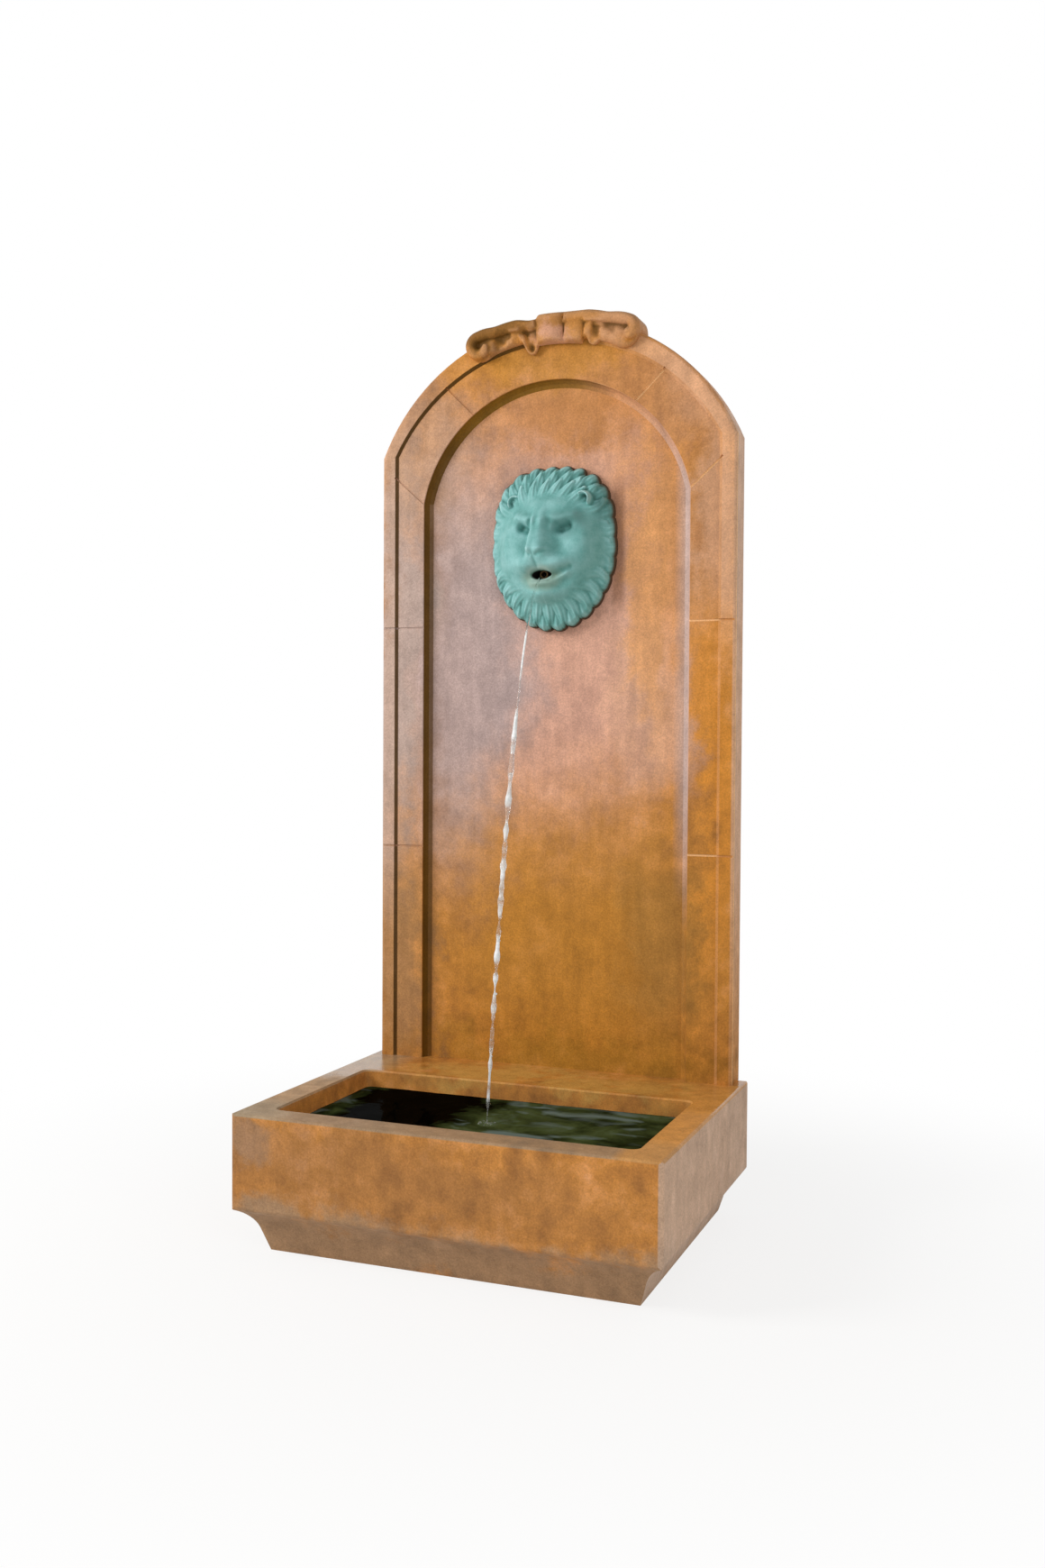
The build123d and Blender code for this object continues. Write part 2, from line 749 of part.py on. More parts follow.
def make_clips():
    inner = hose_r + gap_slide
    outer = inner + clip_t
    reach = hose_r + clip_t + clip_foot
    clips = []
    for height in clip_heights:
        z0 = basin_h + height - clip_w / 2
        z1 = z0 + clip_w
        strap = rod_z(outer, z0, z1, 0, hose_y) + block(-outer, outer, hollow_y, hose_y, z0, z1)
        strap -= block(-outer, outer, hollow_y - outer, hollow_y, z0, z1)
        feet = block(-reach, reach, hollow_y, hollow_y + clip_t, z0, z1)
        room = rod_z(inner, z0, z1, 0, hose_y) + block(-inner, inner, hollow_y, hose_y, z0, z1)
        clip = strap + feet - room
        for x, z in clip_screw_places():
            if abs(z - basin_h - height) < clip_w / 2:
                clip -= rod_y(screw_r + gap_close, hollow_y, hollow_y + clip_t, x, z)
        clips.append(clip)
    return group(clips)


def make_clip_screws():
    head = hollow_y + clip_t
    return group(
        rod_y(screw_head_r, head, head + screw_head_t, x, z) + rod_y(screw_r, head - screw_l, head, x, z)
        for x, z in clip_screw_places())


def cut_screw_holes(panel):
    """Plugged holes for the clip screws in the sunk field's back."""
    start = hollow_y + clip_t - screw_l
    for x, z in clip_screw_places():
        panel -= rod_y(screw_r + gap_close, start, hollow_y, x, z)
    return panel


# Pump
def pump_block(x0, x1, half_w, below, above):
    """Box round the pump's axis."""
    return block(x0, x1, pump_y - half_w, pump_y + half_w, pump_z - below, pump_z + above)


def on_axis(r, x0, x1):
    """Round bar on the pump's axis."""
    return rod_x(r, x0, x1, pump_y, pump_z)


def core_ends():
    """Where the iron core lies along the axis."""
    mid = -chamber_x - well_l / 2
    return mid - core_l / 2, mid + core_l / 2


def make_core():
    x0, x1 = core_ends()
    gap = well_r + strainer_wall
    outer = gap + core_pole_t
    low = core_yoke_drop + core_yoke_t
    legs = pump_block(x0, x1, outer, low, magnet_r)
    return legs - pump_block(x0, x1, gap, core_yoke_drop, magnet_r)


def make_coil():
    x0, x1 = core_ends()
    low, high = core_yoke_drop + core_yoke_t + coil_t, -(core_yoke_drop - coil_t)
    body = pump_block(x0 - coil_t, x1 + coil_t, coil_span / 2, low, high)
    return body - pump_block(x0, x1, coil_span / 2, core_yoke_drop + core_yoke_t, -core_yoke_drop)


def tongue(side, grow):
    """Snap tongue of the strainer along one side of the pump, or the groove it lies in."""
    y = pump_y + side * (pump_w / 2 - strainer_wall / 2)
    half = strainer_wall / 2 + grow
    return block(
        -chamber_x - grow, cover_x, y - half, y + half, pump_z - tongue_w / 2 - grow, pump_z + tongue_w / 2 + grow)


def make_pump_housing(core, coil):
    body = pump_block(motor_end, chamber_x, pump_w / 2, pump_below, pump_above)
    long_edges = body.edges().filter_by(Axis.X)
    body = fillet(long_edges, radius=strainer_wall)
    body += rod_z(outlet_r, pump_z + pump_above - strainer_wall, outlet_top, 0, pump_y)
    body -= on_axis(chamber_r, -chamber_x, chamber_x)
    body -= on_axis(well_r, well_end, -chamber_x)
    body -= on_axis(bush_r, well_end - bush_l, well_end)
    body -= rod_z(outlet_bore_r, pump_z, outlet_top, 0, pump_y)
    ring = on_axis(seal_r + seal_w, chamber_x - seal_t, chamber_x) - on_axis(seal_r, chamber_x - seal_t, chamber_x)
    body -= ring
    for side in (-1, 1):
        body -= tongue(side, gap_slide)
    return body - core - coil


def make_bushings():
    rear = on_axis(bush_r, well_end - bush_l, well_end)
    front = on_axis(bush_r, cover_x - bush_l, cover_x)
    hole = on_axis(shaft_r, well_end - bush_l, cover_x)
    return group([rear - hole, front - hole])


def make_shaft():
    return on_axis(shaft_r, well_end - bush_l, cover_x)


def make_magnet():
    body = on_axis(magnet_r, well_end + magnet_end_gap, -chamber_x + gap_slide)
    return body - on_axis(shaft_r + gap_run, well_end, chamber_x)


def make_impeller():
    start = -chamber_x + gap_slide
    disc_end = start + impeller_disc_t
    end = disc_end + vane_h
    body = on_axis(impeller_r, start, disc_end) + on_axis(impeller_hub_r, start, end)
    for i in range(vane_count):
        vane = block(disc_end, end, -vane_t / 2, vane_t / 2, impeller_hub_r - vane_t / 2, impeller_r)
        body += Pos(0, pump_y, pump_z) * Rot(360 / vane_count * i, 0, 0) * vane
    return body - on_axis(shaft_r + gap_run, start, end)


def make_volute_cover():
    body = pump_block(chamber_x, cover_x, pump_w / 2, pump_below, pump_above)
    body -= on_axis(intake_r, chamber_x, cover_x)
    hub_start = cover_x - bush_l
    for i in range(spider_arms):
        arm = block(chamber_x, cover_x, -spider_w / 2, spider_w / 2, 0, intake_r + spider_w)
        body += Pos(0, pump_y, pump_z) * Rot(360 / spider_arms * i, 0, 0) * arm
    body += on_axis(bush_r + strainer_wall, hub_start, cover_x)
    body -= on_axis(bush_r, hub_start, cover_x)
    for side in (-1, 1):
        body -= tongue(side, gap_slide)
    return body


def make_volute_seal():
    start = chamber_x - seal_t
    return on_axis(seal_r + seal_w, start, chamber_x) - on_axis(seal_r, start, chamber_x)


def make_strainer():
    end = cover_x + strainer_l
    body = pump_block(cover_x, end, pump_w / 2, pump_below, pump_above)
    body = fillet(body.edges().filter_by(Axis.X), radius=strainer_wall)
    body -= pump_block(
        cover_x, end - strainer_wall, pump_w / 2 - strainer_wall, pump_below - strainer_wall, pump_above - strainer_wall)
    rows = int((pump_below + pump_above - 4 * slot_pitch) / slot_pitch)
    for i in range(rows):
        z = pump_z - pump_below + 2 * slot_pitch + i * slot_pitch
        body -= block(cover_x + slot_pitch, end - slot_pitch, pump_y - pump_w, pump_y + pump_w, z, z + slot_w)
    face_rows = int((pump_w / 2 - dial_plate_r - strainer_wall) / slot_pitch)
    for side in (-1, 1):
        for i in range(face_rows):
            y = pump_y + side * (dial_plate_r + slot_pitch / 2 + i * slot_pitch)
            body -= block(end - strainer_wall, end, y - slot_w / 2, y + slot_w / 2,
                          pump_z - pump_below + slot_pitch, pump_z + pump_above - slot_pitch)
    body -= on_axis(dial_stem_r + gap_run, end - strainer_wall, end)
    for side in (-1, 1):
        body += tongue(side, 0)
    return body


def make_flow_dial():
    wall_out = cover_x + strainer_l
    wall_in = wall_out - strainer_wall
    body = on_axis(dial_r, wall_out + gap_slide, wall_out + gap_slide + dial_t)
    grip = dial_r - dial_grip_inset
    body += block(wall_out + gap_slide + dial_t, wall_out + 2 * dial_t,
                  pump_y - dial_grip_t / 2, pump_y + dial_grip_t / 2, pump_z - grip, pump_z + grip)
    body += on_axis(dial_stem_r, wall_in - gap_slide - dial_plate_t, wall_out + gap_slide)
    plate = on_axis(dial_plate_r, wall_in - gap_slide - dial_plate_t, wall_in - gap_slide)
    window = pump_block(wall_in - 2 * strainer_wall, wall_in, dial_plate_r, 0, dial_plate_r)
    keep = on_axis(dial_stem_r + dial_boss_w, wall_in - gap_slide - dial_plate_t, wall_in - gap_slide)
    return body + (plate - window) + keep


def make_outlet_adaptor():
    body = rod_z(outlet_bore_r - gap_close, outlet_top - outlet_h / 2, outlet_top, 0, pump_y)
    body += rod_z(outlet_r, outlet_top, hose_start, 0, pump_y)
    body += barb(hose_start, hose_start + barb_l, 0, pump_y, 1)
    return body - rod_z(elbow_bore_r, outlet_top - outlet_h / 2, hose_start + barb_l, 0, pump_y)


def make_suction_cups():
    cups = []
    for x in (motor_end + cup_inset, chamber_x - cup_inset):
        for side in (-1, 1):
            y = pump_y + side * (pump_w / 2 - cup_inset)
            skirt = Pos(x, y, floor_t) * Cone(cup_r, cup_neck_r, cup_skirt_h, align=BASE)
            hollow = Pos(x, y, floor_t) * Cone(cup_hollow_r, cup_hollow_h / 4, cup_hollow_h, align=BASE)
            cups.append(skirt + rod_z(cup_neck_r, floor_t + cup_skirt_h, floor_t + cup_h, x, y) - hollow)
    return group(cups)


def make_cord_gland():
    z = pump_z + pump_above / 2
    y = pump_y
    body = rod_x(gland_r, motor_end - gland_l / 2, motor_end, y, z)
    body += Pos(motor_end - gland_l, y, z) * Rot(0, 90, 0) * Cone(
        gland_tip_r, gland_r, gland_l / 2, align=BASE)
    return body - rod_x(gland_bore_r, motor_end - gland_l, motor_end - gland_l / 4, y, z)


# Drain
def at_drain(r, z0, z1):
    """Upright round bar at the drain."""
    return rod_z(r, z0, z1, drain_x, drain_y)


def flange_top():
    return floor_t + drain_gasket_t + drain_flange_t


def make_drain_fitting():
    under = floor_t + drain_gasket_t
    body = at_drain(drain_flange_r, under, flange_top()) + at_drain(drain_tube_r, drain_tail_lift, under)
    return body - at_drain(drain_bore_r, drain_tail_lift, flange_top())


def make_drain_gasket():
    top = floor_t + drain_gasket_t
    return at_drain(drain_flange_r, floor_t, top) - at_drain(drain_tube_r + gap_close, floor_t, top)


def make_drain_locknut():
    low = drain_pocket_h - drain_nut_t
    nut = extrude(
        Plane.XY.offset(low) * Pos(drain_x, drain_y) * RegularPolygon(drain_nut_flats / 2, 6, major_radius=False),
        amount=drain_nut_t)
    return nut - at_drain(drain_tube_r + gap_close, low, drain_pocket_h)


def make_drain_plug():
    top = flange_top()
    body = at_drain(plug_cap_r, top, top + plug_cap_t)
    taper = drain_bore_r - gap_slide
    body += Pos(drain_x, drain_y, top - plug_l) * Cone(taper - plug_taper, taper, plug_l, align=BASE)
    ring = Rot(90, 0, 0) * Torus(ring_r, ring_wire_r)
    return body + Pos(drain_x, drain_y, top + plug_cap_t + ring_r) * ring


def make_all():
    """Every node of the fountain by name."""
    chase = along_route(hose_r + chase_gap, hose_route())
    panel = make_panel(chase)
    panel = cut_screw_holes(panel)
    core, coil = make_core(), make_coil()
    return {
        "basin": make_basin(chase),
        "back_panel": panel,
        "crest_ornament": make_crest(),
        "crest_dowels": make_crest_dowels(),
        "panel_dowels": make_panel_dowels(),
        "lion_mask": make_mask(),
        "mask_studs": make_studs(),
        "mask_washers": make_washers(),
        "mask_nuts": make_nuts(),
        "spout_tube": make_spout_tube(),
        "spout_elbow": make_elbow(),
        "spout_gasket": make_spout_gasket(),
        "spout_locknut": make_spout_locknut(),
        "supply_hose": make_hose(),
        "upper_hose_clamp": make_clamp(hose_end - clamp_offset - clamp_w, hose_y),
        "lower_hose_clamp": make_clamp(hose_start + clamp_offset, pump_y),
        "hose_clips": make_clips(),
        "hose_clip_screws": make_clip_screws(),
        "pump_housing": make_pump_housing(core, coil),
        "stator_core": core,
        "stator_coil": coil,
        "rotor_magnet": make_magnet(),
        "impeller": make_impeller(),
        "impeller_shaft": make_shaft(),
        "shaft_bushings": make_bushings(),
        "volute_cover": make_volute_cover(),
        "volute_seal": make_volute_seal(),
        "strainer_cover": make_strainer(),
        "flow_dial": make_flow_dial(),
        "outlet_adaptor": make_outlet_adaptor(),
        "suction_cups": make_suction_cups(),
        "cord_gland": make_cord_gland(),
        "drain_fitting": make_drain_fitting(),
        "drain_gasket": make_drain_gasket(),
        "drain_locknut": make_drain_locknut(),
        "drain_plug": make_drain_plug(),
    }


os.makedirs("parts", exist_ok=True)
for node, shape in make_all().items():
    export_step(shape, "parts/" + node + ".step")
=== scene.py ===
# %% [markdown]
# # A wall fountain of cast stone with a verdigris lion
# The real thing is a trough, an arched slab with a sunk field, a carved crest and a bronze lion mask
# that spouts water from a small pump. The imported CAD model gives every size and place. This lesson
# dresses it: it repaints the pieces whose shape is already right, and models anew the carved ones and
# the water.

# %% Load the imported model
import json
import math

import bpy
import numpy as np
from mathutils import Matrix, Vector


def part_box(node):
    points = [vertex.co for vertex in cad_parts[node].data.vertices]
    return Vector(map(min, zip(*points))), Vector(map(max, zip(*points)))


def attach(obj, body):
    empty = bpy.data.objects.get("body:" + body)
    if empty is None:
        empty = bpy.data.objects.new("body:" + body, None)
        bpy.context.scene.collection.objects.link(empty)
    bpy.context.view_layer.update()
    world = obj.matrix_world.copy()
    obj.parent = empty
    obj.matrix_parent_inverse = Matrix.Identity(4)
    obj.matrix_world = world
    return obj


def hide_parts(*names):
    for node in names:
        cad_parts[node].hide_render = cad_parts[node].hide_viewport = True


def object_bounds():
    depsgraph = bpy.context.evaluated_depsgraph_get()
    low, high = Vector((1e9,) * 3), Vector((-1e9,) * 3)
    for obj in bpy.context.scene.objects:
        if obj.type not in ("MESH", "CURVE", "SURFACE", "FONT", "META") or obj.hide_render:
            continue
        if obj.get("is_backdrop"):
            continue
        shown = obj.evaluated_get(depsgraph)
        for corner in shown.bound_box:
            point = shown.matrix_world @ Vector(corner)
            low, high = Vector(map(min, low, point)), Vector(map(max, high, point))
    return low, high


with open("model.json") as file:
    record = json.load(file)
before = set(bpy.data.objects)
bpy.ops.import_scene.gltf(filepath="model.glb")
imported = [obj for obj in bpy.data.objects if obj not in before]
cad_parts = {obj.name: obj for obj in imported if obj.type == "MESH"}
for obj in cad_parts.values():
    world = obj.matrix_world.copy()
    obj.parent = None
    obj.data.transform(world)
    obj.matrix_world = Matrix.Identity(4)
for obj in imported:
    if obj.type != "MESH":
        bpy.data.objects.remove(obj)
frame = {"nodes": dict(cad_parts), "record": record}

cad_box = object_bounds()
MM = 0.001
scene = bpy.context.scene
scene.view_settings.view_transform = "Standard"
print("CAD nodes:", len(frame["nodes"]), "box", [round(v, 3) for c in cad_box for v in c])

# %% [markdown]
# ## Camera
# The photograph was taken from the right of the fountain, about level with its middle, with a normal
# lens. Matching known corners of the trough and the arch gives the camera's place and angles. It comes
# first, so that every later choice can be compared with the picture.

# %% Camera at the photograph's place
camera_place = Vector((1.0210, -2.5024, 0.9114))
camera_pitch, camera_roll, camera_yaw = -1.46, -0.33, 21.47
photo_width_px = 1160
focal_px = 1606.3
camera = bpy.data.objects.new("camera", bpy.data.cameras.new("camera"))
camera.data.sensor_fit = "HORIZONTAL"
camera.data.sensor_width = 36.0
camera.data.lens = camera.data.sensor_width * focal_px / photo_width_px
camera.location = camera_place
camera.rotation_euler = [math.radians(a) for a in (90 + camera_pitch, camera_roll, camera_yaw)]
scene.collection.objects.link(camera)
scene.camera = camera
print("camera lens", round(camera.data.lens, 2), "mm")

# %% [markdown]
# ## Floor, backdrop and light
# A catalogue picture stands the object on white. Here a pale floor meets a white world, and both look
# white only to the camera and to reflections, so the object itself is lit by lamps at a plain level.
# One large soft lamp from the left gives the shade in the mouldings, deepened by painted shade on the
# stone, a weaker one from the right opens the dark sides, and a faint one from behind draws the top edges.

# %% Helpers for colours and nodes
def linear(hex_colour):
    """Turn an sRGB hex colour into linear values with alpha."""
    parts = [int(hex_colour[i:i + 2], 16) / 255 for i in (1, 3, 5)]
    return [p / 12.92 if p <= 0.04045 else ((p + 0.055) / 1.055) ** 2.4 for p in parts] + [1.0]


def add(tree, kind, links=None, stops=None, **settings):
    """Add a node: its own settings, its input values or links by socket, and a ramp's stops."""
    node = tree.nodes.new(kind)
    for key, value in settings.items():
        setattr(node, key, value)
    for i, (place, colour) in enumerate(stops or []):
        stop = node.color_ramp.elements[i] if i < 2 else node.color_ramp.elements.new(place)
        stop.position, stop.color = place, linear(colour)
    for key, value in (links or {}).items():
        socket = next(s for s in node.inputs if s.enabled and key in (s.identifier, s.name))
        if isinstance(value, bpy.types.Node):
            value = next(s for s in value.outputs if s.enabled)
        if isinstance(value, bpy.types.NodeSocket):
            tree.links.new(value, socket)
        else:
            socket.default_value = value
    return node


def new_finish(name):
    """A material with an empty tree, the tree, and its Object coordinates in metres."""
    material = bpy.data.materials.new(name)
    material.use_nodes = True
    tree = material.node_tree
    tree.nodes.clear()
    place = tree.nodes.new("ShaderNodeTexCoord").outputs["Object"]
    return material, tree, place


print("mid grey in linear light", [round(v, 3) for v in linear("#808080")])


# %% White world
def white_for_camera(tree):
    """One for rays that should see plain white: the camera's, mirror and clear rays."""
    path = tree.nodes.new("ShaderNodeLightPath").outputs
    seen = path["Is Camera Ray"]
    for ray in ("Is Glossy Ray", "Is Transmission Ray"):
        seen = add(tree, "ShaderNodeMath", {"Value": seen, "Value_001": path[ray]}, operation="MAXIMUM")
    return seen


world = bpy.data.worlds.new("studio")
world.use_nodes = True
tree = world.node_tree
tree.nodes.clear()
ambient = 0.42
strength = add(tree, "ShaderNodeMapRange",
               {"Value": white_for_camera(tree), "To Min": ambient, "To Max": 1.0})
sky = add(tree, "ShaderNodeBackground", {"Color": linear("#FFFFFF"), "Strength": strength})
add(tree, "ShaderNodeOutputWorld", {"Surface": sky})
scene.world = world
print("world light", ambient)

# %% Paper floor
# The paper glows white to the camera away from the object, and keeps its own shade close to it.
floor_finish, tree, place = new_finish("white_paper")
shade_reach, white_reach = 0.55, 1.7
floor_near, floor_far = 0.80, 1.0
away = add(tree, "ShaderNodeVectorMath", {"Vector": place}, operation="LENGTH").outputs["Value"]
clear = add(tree, "ShaderNodeMapRange", {"Value": away, "From Min": shade_reach, "From Max": white_reach,
                                         "To Min": floor_near, "To Max": floor_far},
            interpolation_type="SMOOTHSTEP")
share = add(tree, "ShaderNodeMath", {"Value": white_for_camera(tree), "Value_001": clear},
            operation="MULTIPLY")
paper = add(tree, "ShaderNodeBsdfDiffuse", {"Color": linear("#F4F2EE")})
glow = add(tree, "ShaderNodeEmission", {"Color": linear("#FFFFFF"), "Strength": 1.0})
mixed = add(tree, "ShaderNodeMixShader", {"Fac": share, "Shader": paper, "Shader_001": glow})
add(tree, "ShaderNodeOutputMaterial", {"Surface": mixed})
floor_half = 8.0
corners = [(x * floor_half, y * floor_half, 0) for x, y in ((-1, -1), (1, -1), (1, 1), (-1, 1))]
floor = bpy.data.objects.new("floor", bpy.data.meshes.new("floor"))
floor.data.from_pydata(corners, [], [(0, 1, 2, 3)])
floor.data.materials.append(floor_finish)
scene.collection.objects.link(floor)
floor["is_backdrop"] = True
print("floor", 2 * floor_half, "m wide")

# %% Soft lamps
# Each lamp is a square soft box: its place and width in metres, and its power in watts.
lamp_aim = Vector((0.0, 0.1, 0.95))
lamps = {
    "key_left": ((-2.7, -1.9, 2.5), 1.5, 95),
    "fill_right": ((2.4, -2.2, 1.5), 2.0, 26),
    "rim_back": ((0.6, 2.6, 2.4), 1.6, 8),
}
for name, (stand, width, power) in lamps.items():
    lamp = bpy.data.objects.new(name, bpy.data.lights.new(name, "AREA"))
    lamp.data.shape, lamp.data.size, lamp.data.energy = "SQUARE", width, power
    lamp.location = stand
    lamp.rotation_euler = (lamp_aim - Vector(stand)).to_track_quat("-Z", "Y").to_euler()
    scene.collection.objects.link(lamp)
print("lamps", list(lamps))

# %% [markdown]
# ## Cast stone
# The trough, slab and crest are cast stone: cement and sand poured in a mould, then washed with iron-
# oxide stains and rubbed back. The eye sees a matt ochre that drifts to orange and rose, brown wash
# left in the hollows, a grey bloom where water dries, and a fine sandy grain. On the slab, the grey over
# the left of the field is partly a painted sheen, the mouldings carry painted shade on the faces turned
# from the lamp on the left and painted light on those turned to it, and a painted shadow lies beside the
# mask. A photograph could be projected on it, but would only suit one view. So the colour is built from
# noise in millimetres, and a short list of soft-edged washes lays each drift, and the painted light and
# shade, where it shows on the real fountain.

# %% Helpers for stains
far = 9.0


def per_mm(size):
    """Texture scale for a pattern of that size in millimetres, on coordinates in metres."""
    return 1.0 / (size * MM)


def stained(tree, colour, layers):
    """The colour with tints laid over it one after another, each by its own share."""
    for tint, share in layers:
        colour = add(tree, "ShaderNodeMix",
                     {"Factor_Float": share, "A_Color": colour, "B_Color": linear(tint)}, data_type="RGBA")
    return colour


def away_from(tree, place, centre, reach):
    """Distance from a centre, as a share of the reach along each axis."""
    away = add(tree, "ShaderNodeVectorMath", {"Vector": place, "Vector_001": centre},
               operation="SUBTRACT")
    away = add(tree, "ShaderNodeVectorMath", {"Vector": away, "Vector_001": reach}, operation="DIVIDE")
    return add(tree, "ShaderNodeVectorMath", {"Vector": away}, operation="LENGTH").outputs["Value"]


def turned_to(tree, side, start, end, amount):
    """A share that grows as the surface turns towards a side."""
    facing = add(tree, "ShaderNodeTexCoord").outputs["Normal"]
    turned = add(tree, "ShaderNodeVectorMath", {"Vector": facing, "Vector_001": side},
                 operation="DOT_PRODUCT").outputs["Value"]
    return add(tree, "ShaderNodeMapRange", {"Value": turned, "From Min": start, "From Max": end,
                                            "To Min": 0.0, "To Max": amount},
               interpolation_type="SMOOTHSTEP")


def within(tree, place, axis, low, high, soft):
    """One between two bounds along an axis, fading over a soft edge."""
    along = add(tree, "ShaderNodeSeparateXYZ", {"Vector": place}).outputs[axis]
    over = add(tree, "ShaderNodeMapRange", {"Value": along, "From Min": low - soft, "From Max": low})
    under = add(tree, "ShaderNodeMapRange", {"Value": along, "From Min": high + soft, "From Max": high})
    return add(tree, "ShaderNodeMath", {"Value": over, "Value_001": under}, operation="MULTIPLY")


print("a 3 mm grain has scale", round(per_mm(3)))


# %% Cast stone
# Sand grains are finer than 3 mm, but would not show at this distance, so the grit is drawn that coarse.
cloud_mm, blot_mm, grit_mm, streak_mm = 170, 42, 3, 24
streak_squash = 0.16
wash_edge, wash_core = 1.25, 0.35
turn_start, turn_full = 0.10, 0.5


def cast_stone(name, washes, turned=(), wet=(), use_cavity=False, shine=0.16):
    """Stained cast stone. A wash is a colour, its middle, its reach each way in metres and its strength.
    A turned wash is a colour, the side it faces, its strength, and bounds with a soft edge along some
    axes. Wet is a list of a side, an axis, bounds that the water keeps wet, and the roughness there."""
    material, tree, place = new_finish(name)
    tall = add(tree, "ShaderNodeMapping", {"Vector": place, "Scale": (1.0, 1.0, streak_squash)})
    cloud, blot, grit, streak = (
        add(tree, "ShaderNodeTexNoise",
            {"Vector": where, "Scale": per_mm(size), "Detail": detail, "Roughness": roughness})
        for where, size, detail, roughness in ((place, cloud_mm, 6, 0.62), (place, blot_mm, 6, 0.68),
                                               (place, grit_mm, 3, 0.6), (tall, streak_mm, 5, 0.6)))
    drift = add(tree, "ShaderNodeMix", {"Factor_Float": 0.4, "A_Float": cloud, "B_Float": blot})
    colour = add(tree, "ShaderNodeValToRGB", {"Fac": drift}, stops=[
        (0.30, "#8A5A2A"), (0.42, "#AD7234"), (0.52, "#BE7F38"), (0.62, "#C98A4C"), (0.72, "#C49068")])
    # The washes' edges are torn by the clouds and blots, so that none looks like a drawn oval.
    ragged = place
    for pattern, reach in ((cloud, 0.22), (blot, 0.12)):
        torn = add(tree, "ShaderNodeVectorMath",
                   {"Vector": pattern.outputs["Color"], "Vector_001": (0.5, 0.5, 0.5)},
                   operation="SUBTRACT")
        ragged = add(tree, "ShaderNodeVectorMath",
                     {"Vector": torn, "Vector_001": (reach, reach, reach), "Vector_002": ragged},
                     operation="MULTIPLY_ADD")
    layers = []
    for tint, centre, reach, amount in washes:
        away = away_from(tree, ragged, centre, reach)
        share = add(tree, "ShaderNodeMapRange",
                    {"Value": away, "From Min": wash_edge, "From Max": wash_core, "To Min": 0.0,
                     "To Max": amount}, interpolation_type="SMOOTHSTEP")
        layers.append((tint, share))
    # A turned wash follows the way a face turns, so a list may use it for painted light and shade as well
    # as for stains.
    for tint, side, amount, bounds in turned:
        share = turned_to(tree, side, turn_start, turn_full, amount)
        for axis, (low, high, soft) in bounds.items():
            inside = within(tree, place, axis, low, high, soft)
            share = add(tree, "ShaderNodeMath", {"Value": share, "Value_001": inside},
                        operation="MULTIPLY")
        layers.append((tint, share))
    if use_cavity:
        # Brown wash stays in the cuts, and the high places are rubbed pale.
        cavity = add(tree, "ShaderNodeAttribute", attribute_name="cavity").outputs["Fac"]
        for start, end, amount, tint in ((0.5, 0.12, 0.85, "#573908"), (0.52, 0.9, 0.45, "#C8966C")):
            share = add(tree, "ShaderNodeMapRange", {"Value": cavity, "From Min": start, "From Max": end,
                                                     "To Min": 0.0, "To Max": amount})
            layers.append((tint, share))
    colour = stained(tree, colour, layers)
    for pattern, depth in ((blot, 0.34), (streak, 0.26), (grit, 0.42)):
        tone = add(tree, "ShaderNodeMapRange", {"Value": pattern, "From Min": 0.25, "From Max": 0.75,
                                                "To Min": 1 - depth / 2, "To Max": 1 + depth / 2})
        colour = add(tree, "ShaderNodeVectorMath", {"Vector": colour, "Vector_001": tone},
                     operation="MULTIPLY")
    rough = add(tree, "ShaderNodeMapRange", {"Value": blot, "From Min": 0.3, "From Max": 0.7,
                                             "To Min": 0.74, "To Max": 0.54})
    for side, axis, low, high, soft, gloss in wet:
        facing = turned_to(tree, side, 0.5, 0.9, 1.0)
        share = within(tree, ragged, axis, low, high, soft)
        share = add(tree, "ShaderNodeMath", {"Value": share, "Value_001": facing}, operation="MULTIPLY")
        rough = add(tree, "ShaderNodeMix", {"Factor_Float": share, "A_Float": rough, "B_Float": gloss})
    relief = add(tree, "ShaderNodeMix", {"Factor_Float": 0.45, "A_Float": blot, "B_Float": grit})
    bump = add(tree, "ShaderNodeBump", {"Height": relief, "Strength": 0.3, "Distance": 0.0022})
    shader = add(tree, "ShaderNodeBsdfPrincipled",
                 {"Base Color": colour, "Roughness": rough, "Normal": bump, "IOR": 1.5,
                  "Specular IOR Level": shine})
    add(tree, "ShaderNodeOutputMaterial", {"Surface": shader})
    return material


print("stone patterns", cloud_mm, blot_mm, streak_mm, grit_mm, "mm")

# %% Stains, painted light and painted shade of the panel
# A stain on the slab's front: its colour, place across, height, reach across, reach in height, strength.
slab_y = 0.25
panel_stains = [
    ("#CFA08C", 0.03, 1.18, 0.27, 0.54, 0.9),
    # Grey over the left of the field: partly a grey bloom, partly a painted sheen from the lamp on the
    # left.
    ("#AC9A98", -0.20, 1.10, 0.17, 0.52, 0.85),
    ("#CFA084", 0.21, 1.00, 0.11, 0.20, 0.8),
    ("#D2934E", 0.215, 1.22, 0.06, 0.34, 0.55),
    ("#B97D2C", 0.05, 0.50, 0.34, 0.34, 0.8),
    ("#9A6F36", 0.22, 0.52, 0.10, 0.22, 0.6),
    ("#8F6A20", 0.0, 0.27, 0.4, 0.07, 0.5),
    ("#B97E2A", 0.0, 1.72, 0.26, 0.10, 0.7),
    ("#B4783C", 0.06, 1.58, 0.17, 0.08, 0.75),
    ("#C8822E", 0.345, 0.85, 0.05, 0.45, 0.7),
    ("#BC8F70", 0.345, 1.38, 0.06, 0.22, 0.8),
    ("#B39D93", -0.345, 1.08, 0.06, 0.50, 0.9),
    ("#C49474", 0.30, 1.62, 0.10, 0.12, 0.6),
    ("#BFA08A", -0.30, 1.52, 0.12, 0.16, 0.35),
    ("#9C7650", -0.33, 0.45, 0.08, 0.28, 0.7),
]
panel_washes = [(tint, (x, slab_y, z), (across, far, tall), amount)
                for tint, x, z, across, tall, amount in panel_stains]

